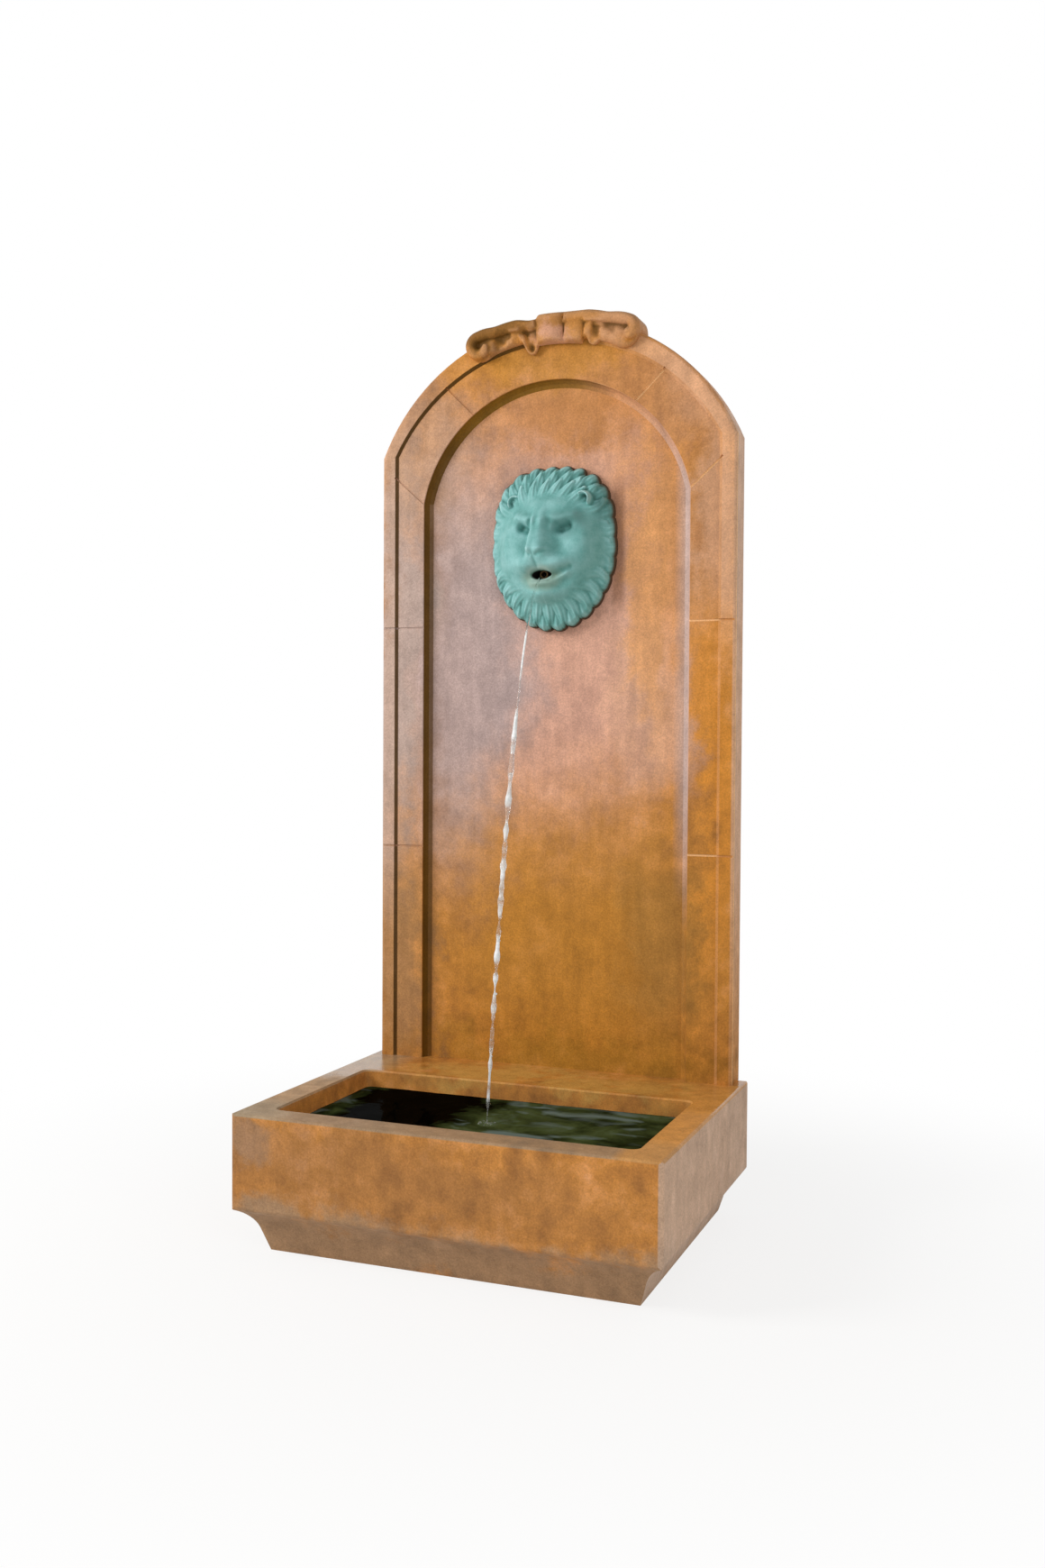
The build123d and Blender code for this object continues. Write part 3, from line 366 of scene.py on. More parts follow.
# The slab's mouldings lie at these depths: low, high and soft edge along Y.
band_face, band_step = (0.2445, 0.2453, 0.0004), (0.2455, 0.2495, 0.0005)
joint_floor, joint_wall = (0.2512, 0.2522, 0.0004), (0.2503, 0.2522, 0.0002)
cove_wall, field_face = (0.2525, 0.275, 0.0005), (0.26, 0.28, 0.001)
inside_arch = (-0.31, 0.31, 0.01)
to_front, painted_shade_side = (0.0, -1.0, 0.0), (0.8, 0.0, -0.6)
panel_turned = [
    # Painted shade mixed with brown patina, on faces turned from the lamp on the left: the cove, the cove
    # under the crown and the step on the left.
    ("#5E3E00", painted_shade_side, 0.97, {"Y": cove_wall, "X": inside_arch}),
    ("#7E5816", (0.25, 0.0, -0.97), 0.9,
     {"Y": cove_wall, "X": (-0.31, 0.05, 0.07), "Z": (1.58, far, 0.06)}),
    ("#4A3000", painted_shade_side, 0.95, {"Y": band_step, "X": (-0.36, 0.1, 0.1)}),
    # Painted light on faces turned to the lamp: the right cove and a strip of field beside it.
    ("#D0B2A8", (-0.95, 0.0, -0.3), 0.85, {"X": inside_arch, "Z": (0.85, 1.36, 0.3)}),
    ("#B9A49C", to_front, 0.6, {"X": (0.270, 0.31, 0.02), "Z": (0.8, 1.45, 0.2), "Y": field_face}),
    ("#DDAA84", to_front, 0.6, {"X": (0.2, far, 0.1), "Y": band_face, "Z": (1.2, far, 0.12)}),
    ("#BE9F8C", to_front, 0.6, {"X": (-far, -0.33, 0.04), "Y": band_face, "Z": (0.7, 1.4, 0.2)}),
    ("#D8B69E", (1.0, 0.0, 0.0), 0.7, {"X": (0.36, far, 0.01), "Z": (0.7, far, 0.4)}),
    # Painted highlight along the step on the right.
    ("#D49A68", to_front, 0.4, {"X": (0.12, far, 0.04), "Y": band_step}),
    ("#F0C088", to_front, 0.9, {"X": (0.1, far, 0.02), "Y": joint_floor}),
    ("#F0C088", (0.7, 0.0, -0.7), 0.9, {"X": (0.1, far, 0.02), "Y": joint_wall}),
    # Painted shadow of the lion mask on the field to its right.
    ("#8A5A36", to_front, 0.5, {"X": (0.128, 0.142, 0.010), "Z": (1.22, 1.42, 0.05), "Y": field_face}),
    ("#AD8C66", (0.0, 1.0, 0.0), 0.9, {"Y": (0.27, far, 0.005)}),
]
panel_wet = [(to_front, "Z", 0.2, 0.42, 0.4, 0.3)]
panel_stone = cast_stone("cast_stone_panel", panel_washes, panel_turned, panel_wet)
print(panel_stone.name, len(panel_washes), "washes and", len(panel_turned), "turned ones")

# %% Stains of the trough and the crest
to_top, to_right, rim_top = (0.0, 0.0, 1.0), (1.0, 0.0, 0.0), (0.25, far, 0.004)
trough_stone = cast_stone("cast_stone_trough", [
    ("#96683A", (-0.1, -0.3, 0.17), (0.5, 0.2, 0.10), 0.6),
    ("#8F7A68", (-0.36, -0.3, 0.21), (0.08, 0.1, 0.05), 0.5),
    ("#9A7D60", (0.0, -0.27, 0.03), (far, far, 0.07), 0.85),
    ("#C0954C", (0.0, 0.17, 0.26), (0.5, 0.10, 0.04), 0.85),
], [
    ("#C6A890", to_right, 0.85, {"X": (0.36, far, 0.02)}),
    ("#8C7A62", to_top, 0.75, {"Y": (-far, -0.22, 0.05), "Z": rim_top}),
    ("#A08C70", to_top, 0.7, {"X": (-far, -0.33, 0.05), "Z": rim_top}),
    ("#CC9048", to_top, 0.7, {"X": (0.33, far, 0.02), "Z": rim_top}),
], [(to_top, "Y", 0.06, 0.4, 0.06, 0.16)], shine=0.3)
crest_stone = cast_stone("cast_stone_crest", [
    ("#B98042", (0.0, 0.25, 1.75), (0.2, far, 0.06), 0.6),
    ("#76501E", (-0.13, 0.24, 1.755), (0.09, far, 0.05), 0.8),
    ("#CF9A80", (0.0, 0.22, 1.745), (0.05, far, 0.04), 0.8),
    ("#C79470", (0.15, 0.22, 1.74), (0.06, far, 0.05), 0.6),
], [
    ("#7A5424", (-0.4, 0.0, 0.9), 0.8, {"X": (-far, -0.045, 0.02)}),
    ("#8E6C48", to_top, 0.5, {"X": (-0.03, far, 0.02)}),
], use_cavity=True)
print("finishes", trough_stone.name, crest_stone.name)

# %% [markdown]
# ## Making a piece
# A finished piece is a mesh at the origin that rides on a CAD body. Some pieces start as several rough
# shells, like lumps of clay. A voxel remesh melts them into one closed skin, and a cavity value is then
# measured at each point: how far it lies under or over the smoothed surface. The stone finish uses it
# to keep brown wash in the cuts.

# %% Helpers for pieces
def mesh_of(name, points, faces):
    """A mesh from points in metres and faces."""
    mesh = bpy.data.meshes.new(name)
    mesh.from_pydata([tuple(p) for p in points], [], [tuple(int(i) for i in f) for f in faces])
    mesh.validate()
    return mesh


def finish_piece(name, mesh, finish, replaced=(), body="fountain"):
    """Make the mesh a smooth piece that rides on a body and may stand for CAD nodes."""
    mesh.name = name
    mesh.materials.clear()
    mesh.materials.append(finish)
    mesh.polygons.foreach_set("use_smooth", [True] * len(mesh.polygons))
    piece = bpy.data.objects.new(name, mesh)
    scene.collection.objects.link(piece)
    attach(piece, body)
    if replaced:
        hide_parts(*replaced)
    print(name, len(mesh.polygons), "faces")


def evaluated(holder):
    """The mesh that an object's modifiers make. The holder is removed."""
    made = bpy.data.meshes.new_from_object(holder.evaluated_get(bpy.context.evaluated_depsgraph_get()))
    bpy.data.objects.remove(holder)
    return made


def rise(x, low, high):
    """Smooth step from 0 at low to 1 at high."""
    t = np.clip((x - low) / (high - low), 0, 1)
    return t * t * (3 - 2 * t)


print("halfway up a smooth step:", float(rise(0.5, 0, 1)))

# %% [markdown]
# ## Carved crest
# Two scrolls spring from a ribbon tie of two folds and sit over the crown of the arch. Each scroll is a
# roll that runs out along the top. The left one curls right round its end into a knob, and the right
# one ends sooner. Under them lie worn swells and hollows, what is left of old carving. All this could
# be sculpted by hand, but the forms follow the arch, so the relief is worked out on a sheet of arc
# length and height, then bent onto the arch. A plain cap behind it carries the outline back over the
# slab.

# %% Arch of the slab, in millimetres
slab_points = np.array([v.co for v in frame["nodes"]["back_panel"].data.vertices]) / MM
half_width, crown_z = slab_points[:, 0].max(), slab_points[:, 2].max()
panel_front = slab_points[:, 1].min()
shoulder_z = slab_points[slab_points[:, 0] > half_width - 0.5, 2].max()
arch_rise = crown_z - shoulder_z
arch_r = (half_width ** 2 + arch_rise ** 2) / (2 * arch_rise)
arch_z = crown_z - arch_r
crest_low, crest_high = (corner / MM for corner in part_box("crest_ornament"))


def on_arch(along, height, forward):
    """Points in metres from millimetres along the arch, over it and in front of the slab."""
    angle = along / arch_r
    reach = arch_r + height
    depth = panel_front - forward * np.ones_like(angle)
    return np.stack([reach * np.sin(angle), depth, arch_z + reach * np.cos(angle)], -1) * MM


print("arch radius", round(arch_r), "mm, crest", [round(v) for v in crest_high - crest_low], "mm")

# %% Outline of the crest, in millimetres along and over the arch
end_r, end_sink, band_drop = 31.0, 11.0, 39.0
skin = 0.6
end_at = arch_r * math.asin((crest_high.x - end_r - skin) / (arch_r - end_sink))
tie_top, tie_low = crest_high.z - crown_z - 0.5, -50.0
# A fold of the tie: place, half width, crown. A lip that hangs under the band: place, half width, end.
tie_folds = ((-1.0, 31.0, 11.0), (53.0, 21.0, 9.0))
lips = ((-48.0, 17.0, -66.0), (99.0, 13.0, -49.0))
tie_left = tie_folds[0][0] - tie_folds[0][1]
tie_crease = tie_folds[0][0] + tie_folds[0][1]
tie_right = tie_folds[1][0] + tie_folds[1][1]
right_lift = 6.0


def lift(along):
    """The right scroll sits a little higher than the left one."""
    return right_lift * rise(along, 0, 40)


def crest_edges(along):
    """Lower and upper edge of the crest over the arch at an arc length."""
    out = np.abs(along)
    ball = np.sqrt(np.maximum(0, end_r ** 2 - np.maximum(0, out - end_at) ** 2))
    level = tie_top + along ** 2 / (2 * arch_r)
    tie_shoulder = tie_top - 7 * rise(out, -tie_left - 9, -tie_left)
    left_top = np.where(along > tie_left, tie_shoulder, 2 + 10 * rise(out, 40, 80))
    top = np.where(along > 0, np.minimum(level, 12 + right_lift), left_top) + 8 * rise(out, 112, 152)
    swung = ball - end_sink + lift(along) * rise(end_at + end_r - out, 0, 20)
    top = np.where(out > end_at, swung, top)
    low = np.full(along.shape, -band_drop)
    for at, half, deep in lips:
        bulge = np.sqrt(np.maximum(0, 1 - ((along - at) / half) ** 2))
        low = np.minimum(low, -band_drop + (deep + band_drop) * bulge)
    low = np.where(out > end_at, -ball - end_sink, low - 3 * rise(out, end_at - 30, end_at))
    tied = (along > tie_left) & (along < tie_right)
    return np.where(tied, np.minimum(low, tie_low), low), top


print("scrolls end", round(end_at), "mm out, tie from", tie_left, "to", tie_right)

# %% Rolls of the crest
# A swell: place out, height, half width, half height, bulge. A cut: place out, height, radius, depth.
left_swells = ((142, -24, 14, 14, 7), (96, -30, 9, 8, 4), (79, -19, 12, 13, 6), (64, -34, 7, 13, 8))
left_cuts = ((113, -19, 11, 5), (47, -54, 9, 9), (55, -20, 7, 6), (128, -34, 6, 3))
right_swells = ((156, -27, 24, 16, 8), (121, -30, 12, 9, 5), (84, -24, 9, 17, 7), (104, -12, 14, 7, 5))
right_cuts = ((106, -30, 12, 4), (97, -45, 7, 5), (140, -13, 8, 4))
top_line = [(34, -8), (52, -8), (74, -3), (98, 0), (122, 2), (140, 5)]
left_curl_end, right_curl_end = -110, -22


def roll(along, height, path, half, high):
    """Height of a round roll along a bent line, with half widths at its two ends."""
    found = np.zeros(along.shape)
    lengths = np.linspace(0, 1, len(path))
    for (a, b), (t0, t1) in zip(zip(path, path[1:]), zip(lengths, lengths[1:])):
        dx, dz = b[0] - a[0], b[1] - a[1]
        t = np.clip(((along - a[0]) * dx + (height - a[1]) * dz) / (dx * dx + dz * dz), 0, 1)
        gap = np.hypot(along - a[0] - t * dx, height - a[1] - t * dz)
        width = half[0] + (half[1] - half[0]) * (t0 + (t1 - t0) * t)
        found = np.maximum(found, high * np.sqrt(np.maximum(0, 1 - (gap / width) ** 2)))
    return found


def scroll(out, raised, curl_end):
    """Height of a roll along the top that curls round to an angle in degrees and ends in a knob."""
    curl = [math.radians(a) for a in range(110, curl_end - 1, -11)]
    reach = np.linspace(19.0, 17.0, len(curl))
    ring = [(end_at + r * math.cos(a), -end_sink + r * math.sin(a)) for a, r in zip(curl, reach)]
    knob = [ring[-1], (ring[-1][0] - 6, ring[-1][1] + 5)]
    top_roll = roll(out, raised, top_line + ring, (13.5, 11.5), 12.5)
    return np.maximum(top_roll, roll(out, raised, knob, (11, 8), 10))


print("swells", len(left_swells) + len(right_swells), "cuts", len(left_cuts) + len(right_cuts))

# %% Relief of the crest
plate_front, tie_front, edge_round = 10.5, 12.5, 7
relief_max = panel_front - crest_low.y - 0.5


def crest_relief(along, height):
    """Distance of the carved face in front of the slab."""
    out = np.abs(along)
    raised = height - lift(along)
    scrolls = np.where(along < 0, scroll(out, raised, left_curl_end), scroll(out, raised, right_curl_end))
    face = plate_front + scrolls
    sides = ((along < 0, left_swells, left_cuts), (along > 0, right_swells, right_cuts))
    for side, swells, cuts in sides:
        for at, high_at, across, tall, bulge in swells:
            face += side * bulge * np.exp(-((out - at) / across) ** 4 - ((raised - high_at) / tall) ** 4)
        for at, high_at, across, deep in cuts:
            face -= side * deep * np.exp(-((out - at) / across) ** 2 - ((height - high_at) / across) ** 2)
    tie_mid, tie_half = (tie_top + tie_low) / 2, (tie_top - tie_low) / 2
    puff = np.maximum(0, 1 - np.abs((height - tie_mid) / tie_half) ** 5) ** 0.5
    folds = np.zeros(along.shape)
    for at, half, crown in tie_folds:
        folds = np.maximum(folds, crown * np.maximum(0, 1 - np.abs((along - at) / half) ** 3) ** 0.5)
    tie = tie_front + folds * puff
    face = np.where((along > tie_left) & (along < tie_crease), tie, face)
    face = np.where((along >= tie_crease) & (along < tie_right), np.maximum(tie, face), face)
    low, top = crest_edges(along)
    edge = np.clip(np.minimum(height - low, top - height) / edge_round, 0, 1)
    return np.minimum(relief_max, face * np.sqrt(1 - (1 - edge) ** 2 * 0.8))


print("relief up to", round(relief_max, 1), "mm")


# %% Carved sheet and cap
def tube_faces(sections, ring):
    """Quads along sections of a ring, with both ends closed."""
    faces = []
    for s in range(sections - 1):
        for i in range(ring):
            j = (i + 1) % ring
            faces.append((s * ring + i, s * ring + j, (s + 1) * ring + j, (s + 1) * ring + i))
    return faces + [tuple(range(ring))[::-1], tuple(range((sections - 1) * ring, sections * ring))]


columns, rows_up, seat_back = 420, 90, -2.0
crest_reach = end_at + end_r - skin
along = np.linspace(-crest_reach, crest_reach, columns)
low, top = crest_edges(along)
steps = np.linspace(0, 1, rows_up)
grid_along = np.repeat(along[:, None], rows_up, 1)
grid_height = low[:, None] + (top - low)[:, None] * steps
carved = on_arch(grid_along, grid_height, crest_relief(grid_along, grid_height))
seat_low, seat_top = (on_arch(along, edge, seat_back)[:, None] for edge in (low, top))
sheet = np.concatenate([seat_low, carved, seat_top], 1)

cap_under, cap_front, cap_back = -3.0, 4.0, panel_front - crest_high.y
inside = np.abs(along) < end_at + math.sqrt(end_r ** 2 - end_sink ** 2) - 2
cap_along = along[inside]
cap_low, cap_top = np.full_like(cap_along, cap_under), np.maximum(top[inside], 0.5)
cap = np.stack([on_arch(cap_along, cap_low, cap_front), on_arch(cap_along, cap_top, cap_front),
                on_arch(cap_along, cap_top, cap_back), on_arch(cap_along, cap_low, cap_back)], 1)
print("sheet", sheet.shape[:2], "cap", cap.shape[:2])


# %% Helpers for clay
def melted(mesh, voxel, smoothing):
    """One closed skin around all the shells of a mesh."""
    holder = bpy.data.objects.new("clay", mesh)
    scene.collection.objects.link(holder)
    remesh = holder.modifiers.new("melt", "REMESH")
    remesh.mode, remesh.voxel_size = "VOXEL", voxel
    smooth = holder.modifiers.new("smooth", "SMOOTH")
    smooth.factor, smooth.iterations = 0.5, smoothing
    return evaluated(holder)


def cavity_of(mesh, rounds, gain):
    """How far each point lies above (over 0.5) or below the surface smoothed that many times."""
    count = len(mesh.vertices)
    points = np.empty(count * 3)
    mesh.vertices.foreach_get("co", points)
    points = points.reshape(-1, 3)
    edges = np.empty(len(mesh.edges) * 2, int)
    mesh.edges.foreach_get("vertices", edges)
    a, b = edges.reshape(-1, 2).T
    degree = np.bincount(np.concatenate([a, b]), minlength=count)[:, None]
    soft = points.copy()
    for _ in range(rounds):
        near = [np.bincount(a, soft[b, i], count) + np.bincount(b, soft[a, i], count) for i in range(3)]
        soft = 0.5 * soft + 0.5 * np.stack(near, 1) / degree
    normals = np.array([v.normal for v in mesh.vertices])
    return np.clip(0.5 + gain * ((points - soft) * normals).sum(1) / MM, 0, 1)


def store_cavity(mesh, values):
    """Keep the cavity value of each point as an attribute that a finish can read."""
    mesh.attributes.new("cavity", "FLOAT", "POINT").data.foreach_set("value", values.astype(np.float32))


# %% Crest melted into one piece
crest_voxel, crest_smoothing = 1.7 * MM, 2
cavity_rounds, cavity_gain = 140, 0.13
points = sheet.reshape(-1, 3)
faces = tube_faces(*sheet.shape[:2])
faces += [tuple(i + len(points) for i in f) for f in tube_faces(*cap.shape[:2])]
points = np.concatenate([points, cap.reshape(-1, 3)])
crest_mesh = melted(mesh_of("crest", points, faces), crest_voxel, crest_smoothing)


def left_grime(mesh):
    """Share of dirt on the top and the end of the left scroll, which count as deeper than they are."""
    x, _, z = (np.array([v.co for v in mesh.vertices]) / MM).T
    spot_along = np.arctan2(x, z - arch_z) * arch_r
    spot_height = np.hypot(x, z - arch_z) - arch_r
    dirt = np.clip(rise(spot_height, -16, -4) + rise(-spot_along, end_at - 4, end_at + 6), 0, 1)
    return 0.3 * dirt * rise(-spot_along, 30, 45)


store_cavity(crest_mesh, cavity_of(crest_mesh, cavity_rounds, cavity_gain) - left_grime(crest_mesh))
finish_piece("crest_carving", crest_mesh, crest_stone, ["crest_ornament"])

# %% [markdown]
# ## Verdigris
# The lion is bronze with a green patina: copper salts that grew on the skin, pale and chalky on the
# high places and dark in the cuts. A cavity value that comes with the relief's mesh says which is
# which, so the patina follows the carving from every side. Around the mouth, hard water has left tan
# lime. Painted shade makes the inside of the mouth black, and darkens the notches of the outline, the
# right eye, the side turned from the lamp, the upper right of the mane and the rim by the wall. Salts
# cover the metal all over, so the finish is not metallic.

# %% Verdigris bronze
mask_low, mask_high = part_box("lion_mask")
field_y = mask_high.y
mask_mid_z = (mask_low.z + mask_high.z) / 2
# The salts are a fine powder, drawn here as coarse as it needs to show.
bloom_mm, chalk_mm = 34, 3.5


def verdigris(name, mouth):
    """Patinated bronze: pale on the crests of the relief, dark in its cuts and lime-stained under the
    mouth, with painted shade in the right eye, on the side turned from the light, on the upper right of the
    mane, along the rim by the wall and in the mouth."""
    material, tree, place = new_finish(name)
    cavity = add(tree, "ShaderNodeAttribute", attribute_name="cavity").outputs["Fac"]
    bloom, chalk = (
        add(tree, "ShaderNodeTexNoise",
            {"Vector": place, "Scale": per_mm(size), "Detail": detail, "Roughness": roughness})
        for size, detail, roughness in ((bloom_mm, 6, 0.65), (chalk_mm, 4, 0.7)))
    level = cavity
    for pattern, amount in ((bloom, 0.6), (chalk, 0.22)):
        level = add(tree, "ShaderNodeMath", {"Value": pattern, "Value_001": amount, "Value_002": level},
                    operation="MULTIPLY_ADD")
    colour = add(tree, "ShaderNodeValToRGB", {"Fac": level}, stops=[
        (0.06, "#20342E"), (0.14, "#2C453D"), (0.46, "#4A7E78"), (0.66, "#6AA5A0"), (0.85, "#8CBFBD"),
        (1.05, "#A2CDCB")])
    # Layers: tan lime by the mouth, then painted shade in the right eye, on the side turned from the light,
    # on the upper right of the mane, along the rim by the wall, and black in the mouth.
    layers = []
    eye = (mouth[0] + 0.048, mouth[1], mouth[2] + 0.112)
    for tint, centre, reach, amount in (("#8F9478", mouth, (0.045, 0.2, 0.026), 0.5),
                                        ("#3F6E68", eye, (0.040, 0.2, 0.034), 0.5)):
        away = away_from(tree, place, centre, reach)
        edge = add(tree, "ShaderNodeMath", {"Value": bloom, "Value_001": -0.9, "Value_002": away},
                   operation="MULTIPLY_ADD")
        share = add(tree, "ShaderNodeMapRange", {"Value": edge, "From Min": 0.75, "From Max": 0.1,
                                                 "To Min": 0.0, "To Max": amount},
                    interpolation_type="SMOOTHSTEP")
        layers.append((tint, share))
    shaded = turned_to(tree, (0.85, -0.3, -0.4), 0.2, 0.9, 0.36)
    right = within(tree, place, "X", 0.105, far, 0.02)
    upper = within(tree, place, "Z", mouth[2] + 0.13, mouth[2] + 0.22, 0.04)
    dim = add(tree, "ShaderNodeMath", {"Value": right, "Value_001": upper}, operation="MULTIPLY")
    dim = add(tree, "ShaderNodeMath", {"Value": dim, "Value_001": 0.65}, operation="MULTIPLY")
    rim_shade = within(tree, place, "Y", mouth[1] + 0.07, far, 0.008)
    throat = add(tree, "ShaderNodeMapRange", {"Value": cavity, "From Min": -0.15, "From Max": -0.45})
    layers += [("#4C8078", shaded), ("#3F6E68", dim), ("#453420", rim_shade), ("#0A0805", throat)]
    colour = stained(tree, colour, layers)
    rough = add(tree, "ShaderNodeMapRange", {"Value": chalk, "From Min": 0.3, "From Max": 0.7,
                                             "To Min": 0.55, "To Max": 0.82})
    bump = add(tree, "ShaderNodeBump", {"Height": chalk, "Strength": 0.35, "Distance": 0.0012})
    shader = add(tree, "ShaderNodeBsdfPrincipled",
                 {"Base Color": colour, "Roughness": rough, "Normal": bump, "Metallic": 0.0,
                  "Specular IOR Level": 0.35})
    add(tree, "ShaderNodeOutputMaterial", {"Surface": shader})
    return material


lion_finish = verdigris("verdigris_bronze", (-0.002, field_y - 0.08, mask_mid_z - 0.066))
print(lion_finish.name, "bloom", bloom_mm, "mm, chalk", chalk_mm, "mm")

# %% [markdown]
# ## Lion mask
# The mask is a relief: seen from the front, every point has one height above the slab. Sculpting by
# hand or metaballs would work, but a height worked out for each point of a grid keeps the mane crisp.
# The grid is a square squeezed onto the mask's scalloped outline, an oval that is squarer over the
# brow. Broad forms come first (dome, brow, muzzle). The lion looks a little to its right, so its nose
# and mouth are shifted aside. Then each lock of the mane is a curved, tapering strand that stands above
# what lies under it, with hair lines along it.

# %% Mask grid on its scalloped outline
mask_half_w = (mask_high.x - mask_low.x) / 2 / MM
mask_half_h = (mask_high.z - mask_low.z) / 2 / MM
grid_n = 285
lock_count, crown_sweep = 26, 13.0
brow_square, parting = 0.8, math.radians(29)


def lock_share(turn):
    """Place between two notches, 0 to 1, at an angle from the top. The crown's locks are combed aside."""
    combed = math.radians(crown_sweep / 2) * np.maximum(0, np.cos(turn)) ** 3
    return (turn - combed) * lock_count / (2 * np.pi) % 1.0


def squared(turn):
    """Share of the oval reached by a plain outline that is an oval below and squarer over the brow."""
    power = 2 + brow_square * rise(np.cos(turn), 0.0, 0.5)
    return (np.abs(np.sin(turn)) ** power + np.abs(np.cos(turn)) ** power) ** (-1 / power)


def outline_reach(turn):
    """The same with round locks and sharp notches, deepest top and bottom and where the crown parts."""
    lobe = np.sqrt(np.maximum(0, 1 - (2 * lock_share(turn) - 1) ** 2))
    depth = 0.022 + 0.045 * np.cos(turn) ** 2 + 0.10 * np.exp(-((turn - parting) / 0.13) ** 2)
    return squared(turn) * (1 - depth * (1 - lobe))


line = np.linspace(-1, 1, grid_n)
col, row = np.meshgrid(line, line)
disc_x, disc_z = col * np.sqrt(1 - row ** 2 / 2), row * np.sqrt(1 - col ** 2 / 2)
rho = np.sqrt(disc_x ** 2 + disc_z ** 2)
turn = np.arctan2(disc_x, disc_z)
scale = 1 + (outline_reach(turn) - 1) * rho ** 3
u, v = mask_half_w * disc_x * scale, mask_half_h * disc_z * scale
print("mask", round(2 * mask_half_w), "x", round(2 * mask_half_h), "mm on a grid of", grid_n ** 2)

# %% Helpers for the face, in millimetres from the middle of the mask
nose_shift, mouth_shift = 13.0, 7.0
looking = rise(u, -48, -8) * (1 - rise(u, -6, 44))
aside = u + (mouth_shift + (nose_shift - mouth_shift) * rise(v, -45, -15)) * looking


def swell(x, z, rx, rz, height):
    """Soft mound on both sides of the face."""
    return height * np.exp(-((np.abs(aside) - x) / rx) ** 2 - ((v - z) / rz) ** 2)


def ridge(x0, z0, x1, z1, width, height):
    """Soft ridge, or a groove if the height is negative, along a line on both sides of the face."""
    px, pz = np.abs(aside) - x0, v - z0
    dx, dz = x1 - x0, z1 - z0
    t = np.clip((px * dx + pz * dz) / (dx * dx + dz * dz), 0, 1)
    return height * np.exp(-((px - t * dx) ** 2 + (pz - t * dz) ** 2) / width ** 2)


def soft_max(a, b, blend):
    """The larger of two heights, with a rounded join."""
    return (a + b + np.sqrt((a - b) ** 2 + blend ** 2)) / 2


print("nose", nose_shift, "and mouth", mouth_shift, "mm aside")

# %% Broad forms of the face
mane_rim, mane_swell, dome_height = 15, 33, 66
face_half_w, face_half_h, face_drop = 112, 124, 6
mane = mane_rim + mane_swell * (1 - rise(rho, 0.55, 1.0))
face_r = np.sqrt((u / face_half_w) ** 2 + ((v + face_drop) / face_half_h) ** 2)
dome = dome_height * np.sqrt(np.maximum(0, 1 - 0.6 * face_r ** 2)) * (1 - rise(face_r, 0.72, 1.34))
brow = swell(0, 82, 52, 28, 8) + ridge(18, 50, 60, 60, 12, 11)
eyes = ridge(37, 33, 48, 37, 8.5, -21) + swell(43, 34, 5, 3.5, 3) + ridge(22, 50, 28, 44, 6, -5)
inner_corner = 7 * np.exp(-((u - 19) / 7) ** 2 - ((v - 36) / 9) ** 2)
nose_half = 16 + 11 * rise(-v, -56, 2)
nose = (12 + 24 * rise(-v, -64, 2)) * np.exp(-np.abs(aside / nose_half) ** 4)
nose *= rise(v, -38, -6) * (1 - rise(v, 48, 88))
nostrils = swell(17, -10, 10, 9, 4) + ridge(9, -20, 20, -14, 4, -3)
muzzle = swell(27, -37, 34, 21, 28) + swell(0, -33, 14, 15, 10)
cheek_line = ridge(26, -58, 56, -44, 6, -7) + ridge(24, -69, 50, -57, 6, 4)
cheeks = swell(70, -4, 36, 48, 11) + cheek_line * (u > 0)
chin = swell(0, -74, 26, 7, 11) + swell(0, -94, 32, 20, 18)
face = dome + brow + eyes + inner_corner + nose + nostrils + muzzle + cheeks + chin

# An ear is a curl round its middle, open on the inner lower side and larger on the right.
ear_x, ear_z, ear_r, ear_half = 74, 93, 13, 7
curl = np.sqrt((np.abs(u) - ear_x) ** 2 + (v - ear_z) ** 2)
ears = np.where(u > 0, 56, 44) * np.exp(-((curl - ear_r) / ear_half) ** 2)
ears *= rise(np.abs(u) - ear_x + (v - ear_z), -18, 6)
print("face relief up to", round(float(face.max())), "mm")


# %% One lock of hair
def strand(path, half_width, root, tip, crown):
    """Height of a lock along a bent path: a tapering ridge with hair lines. Elsewhere minus infinity."""
    a, b, c = (np.array(p, float) for p in path)
    steps = np.linspace(0, 1, 15)[:, None]
    points = (1 - steps) ** 2 * a + 2 * steps * (1 - steps) * b + steps ** 2 * c
    near = (np.abs(u - b[0]) < np.ptp(points[:, 0]) + 2 * half_width)
    near &= (np.abs(v - b[1]) < np.ptp(points[:, 1]) + 2 * half_width)
    un, vn = u[near], v[near]
    found, along, side = np.full(un.shape, np.inf), np.zeros(un.shape), np.zeros(un.shape)
    for i in range(len(points) - 1):
        p, d = points[i], points[i + 1] - points[i]
        t = np.clip(((un - p[0]) * d[0] + (vn - p[1]) * d[1]) / (d @ d), 0, 1)
        ox, oz = un - p[0] - t * d[0], vn - p[1] - t * d[1]
        gap = np.hypot(ox, oz)
        closer = gap < found
        found[closer] = gap[closer]
        along[closer] = ((i + t) / (len(points) - 1))[closer]
        side[closer] = (np.sign(ox * d[1] - oz * d[0]) * gap)[closer]
    width = half_width * (0.72 + 0.5 * np.sin(np.pi * along)) * (1 - 0.35 * along)
    across = side / width
    body = np.sqrt(np.maximum(0, 1 - across ** 2))
    hair = 0.9 * np.cos(across * 2.6 * np.pi) * body
    height = root + (tip - root) * along + crown * body + hair
    out = np.full(u.shape, -np.inf)
    out[near] = np.where(np.abs(across) < 1, height, -np.inf)
    return out


def on_mask(share, turn_deg):
    """Point of the outline at a share of its reach and an angle from the top."""
    angle = math.radians(turn_deg)
    share = share * float(squared(angle))
    return mask_half_w * share * math.sin(angle), mask_half_h * share * math.cos(angle)


print("top of the mask", [round(p) for p in on_mask(1.0, 0.0)])

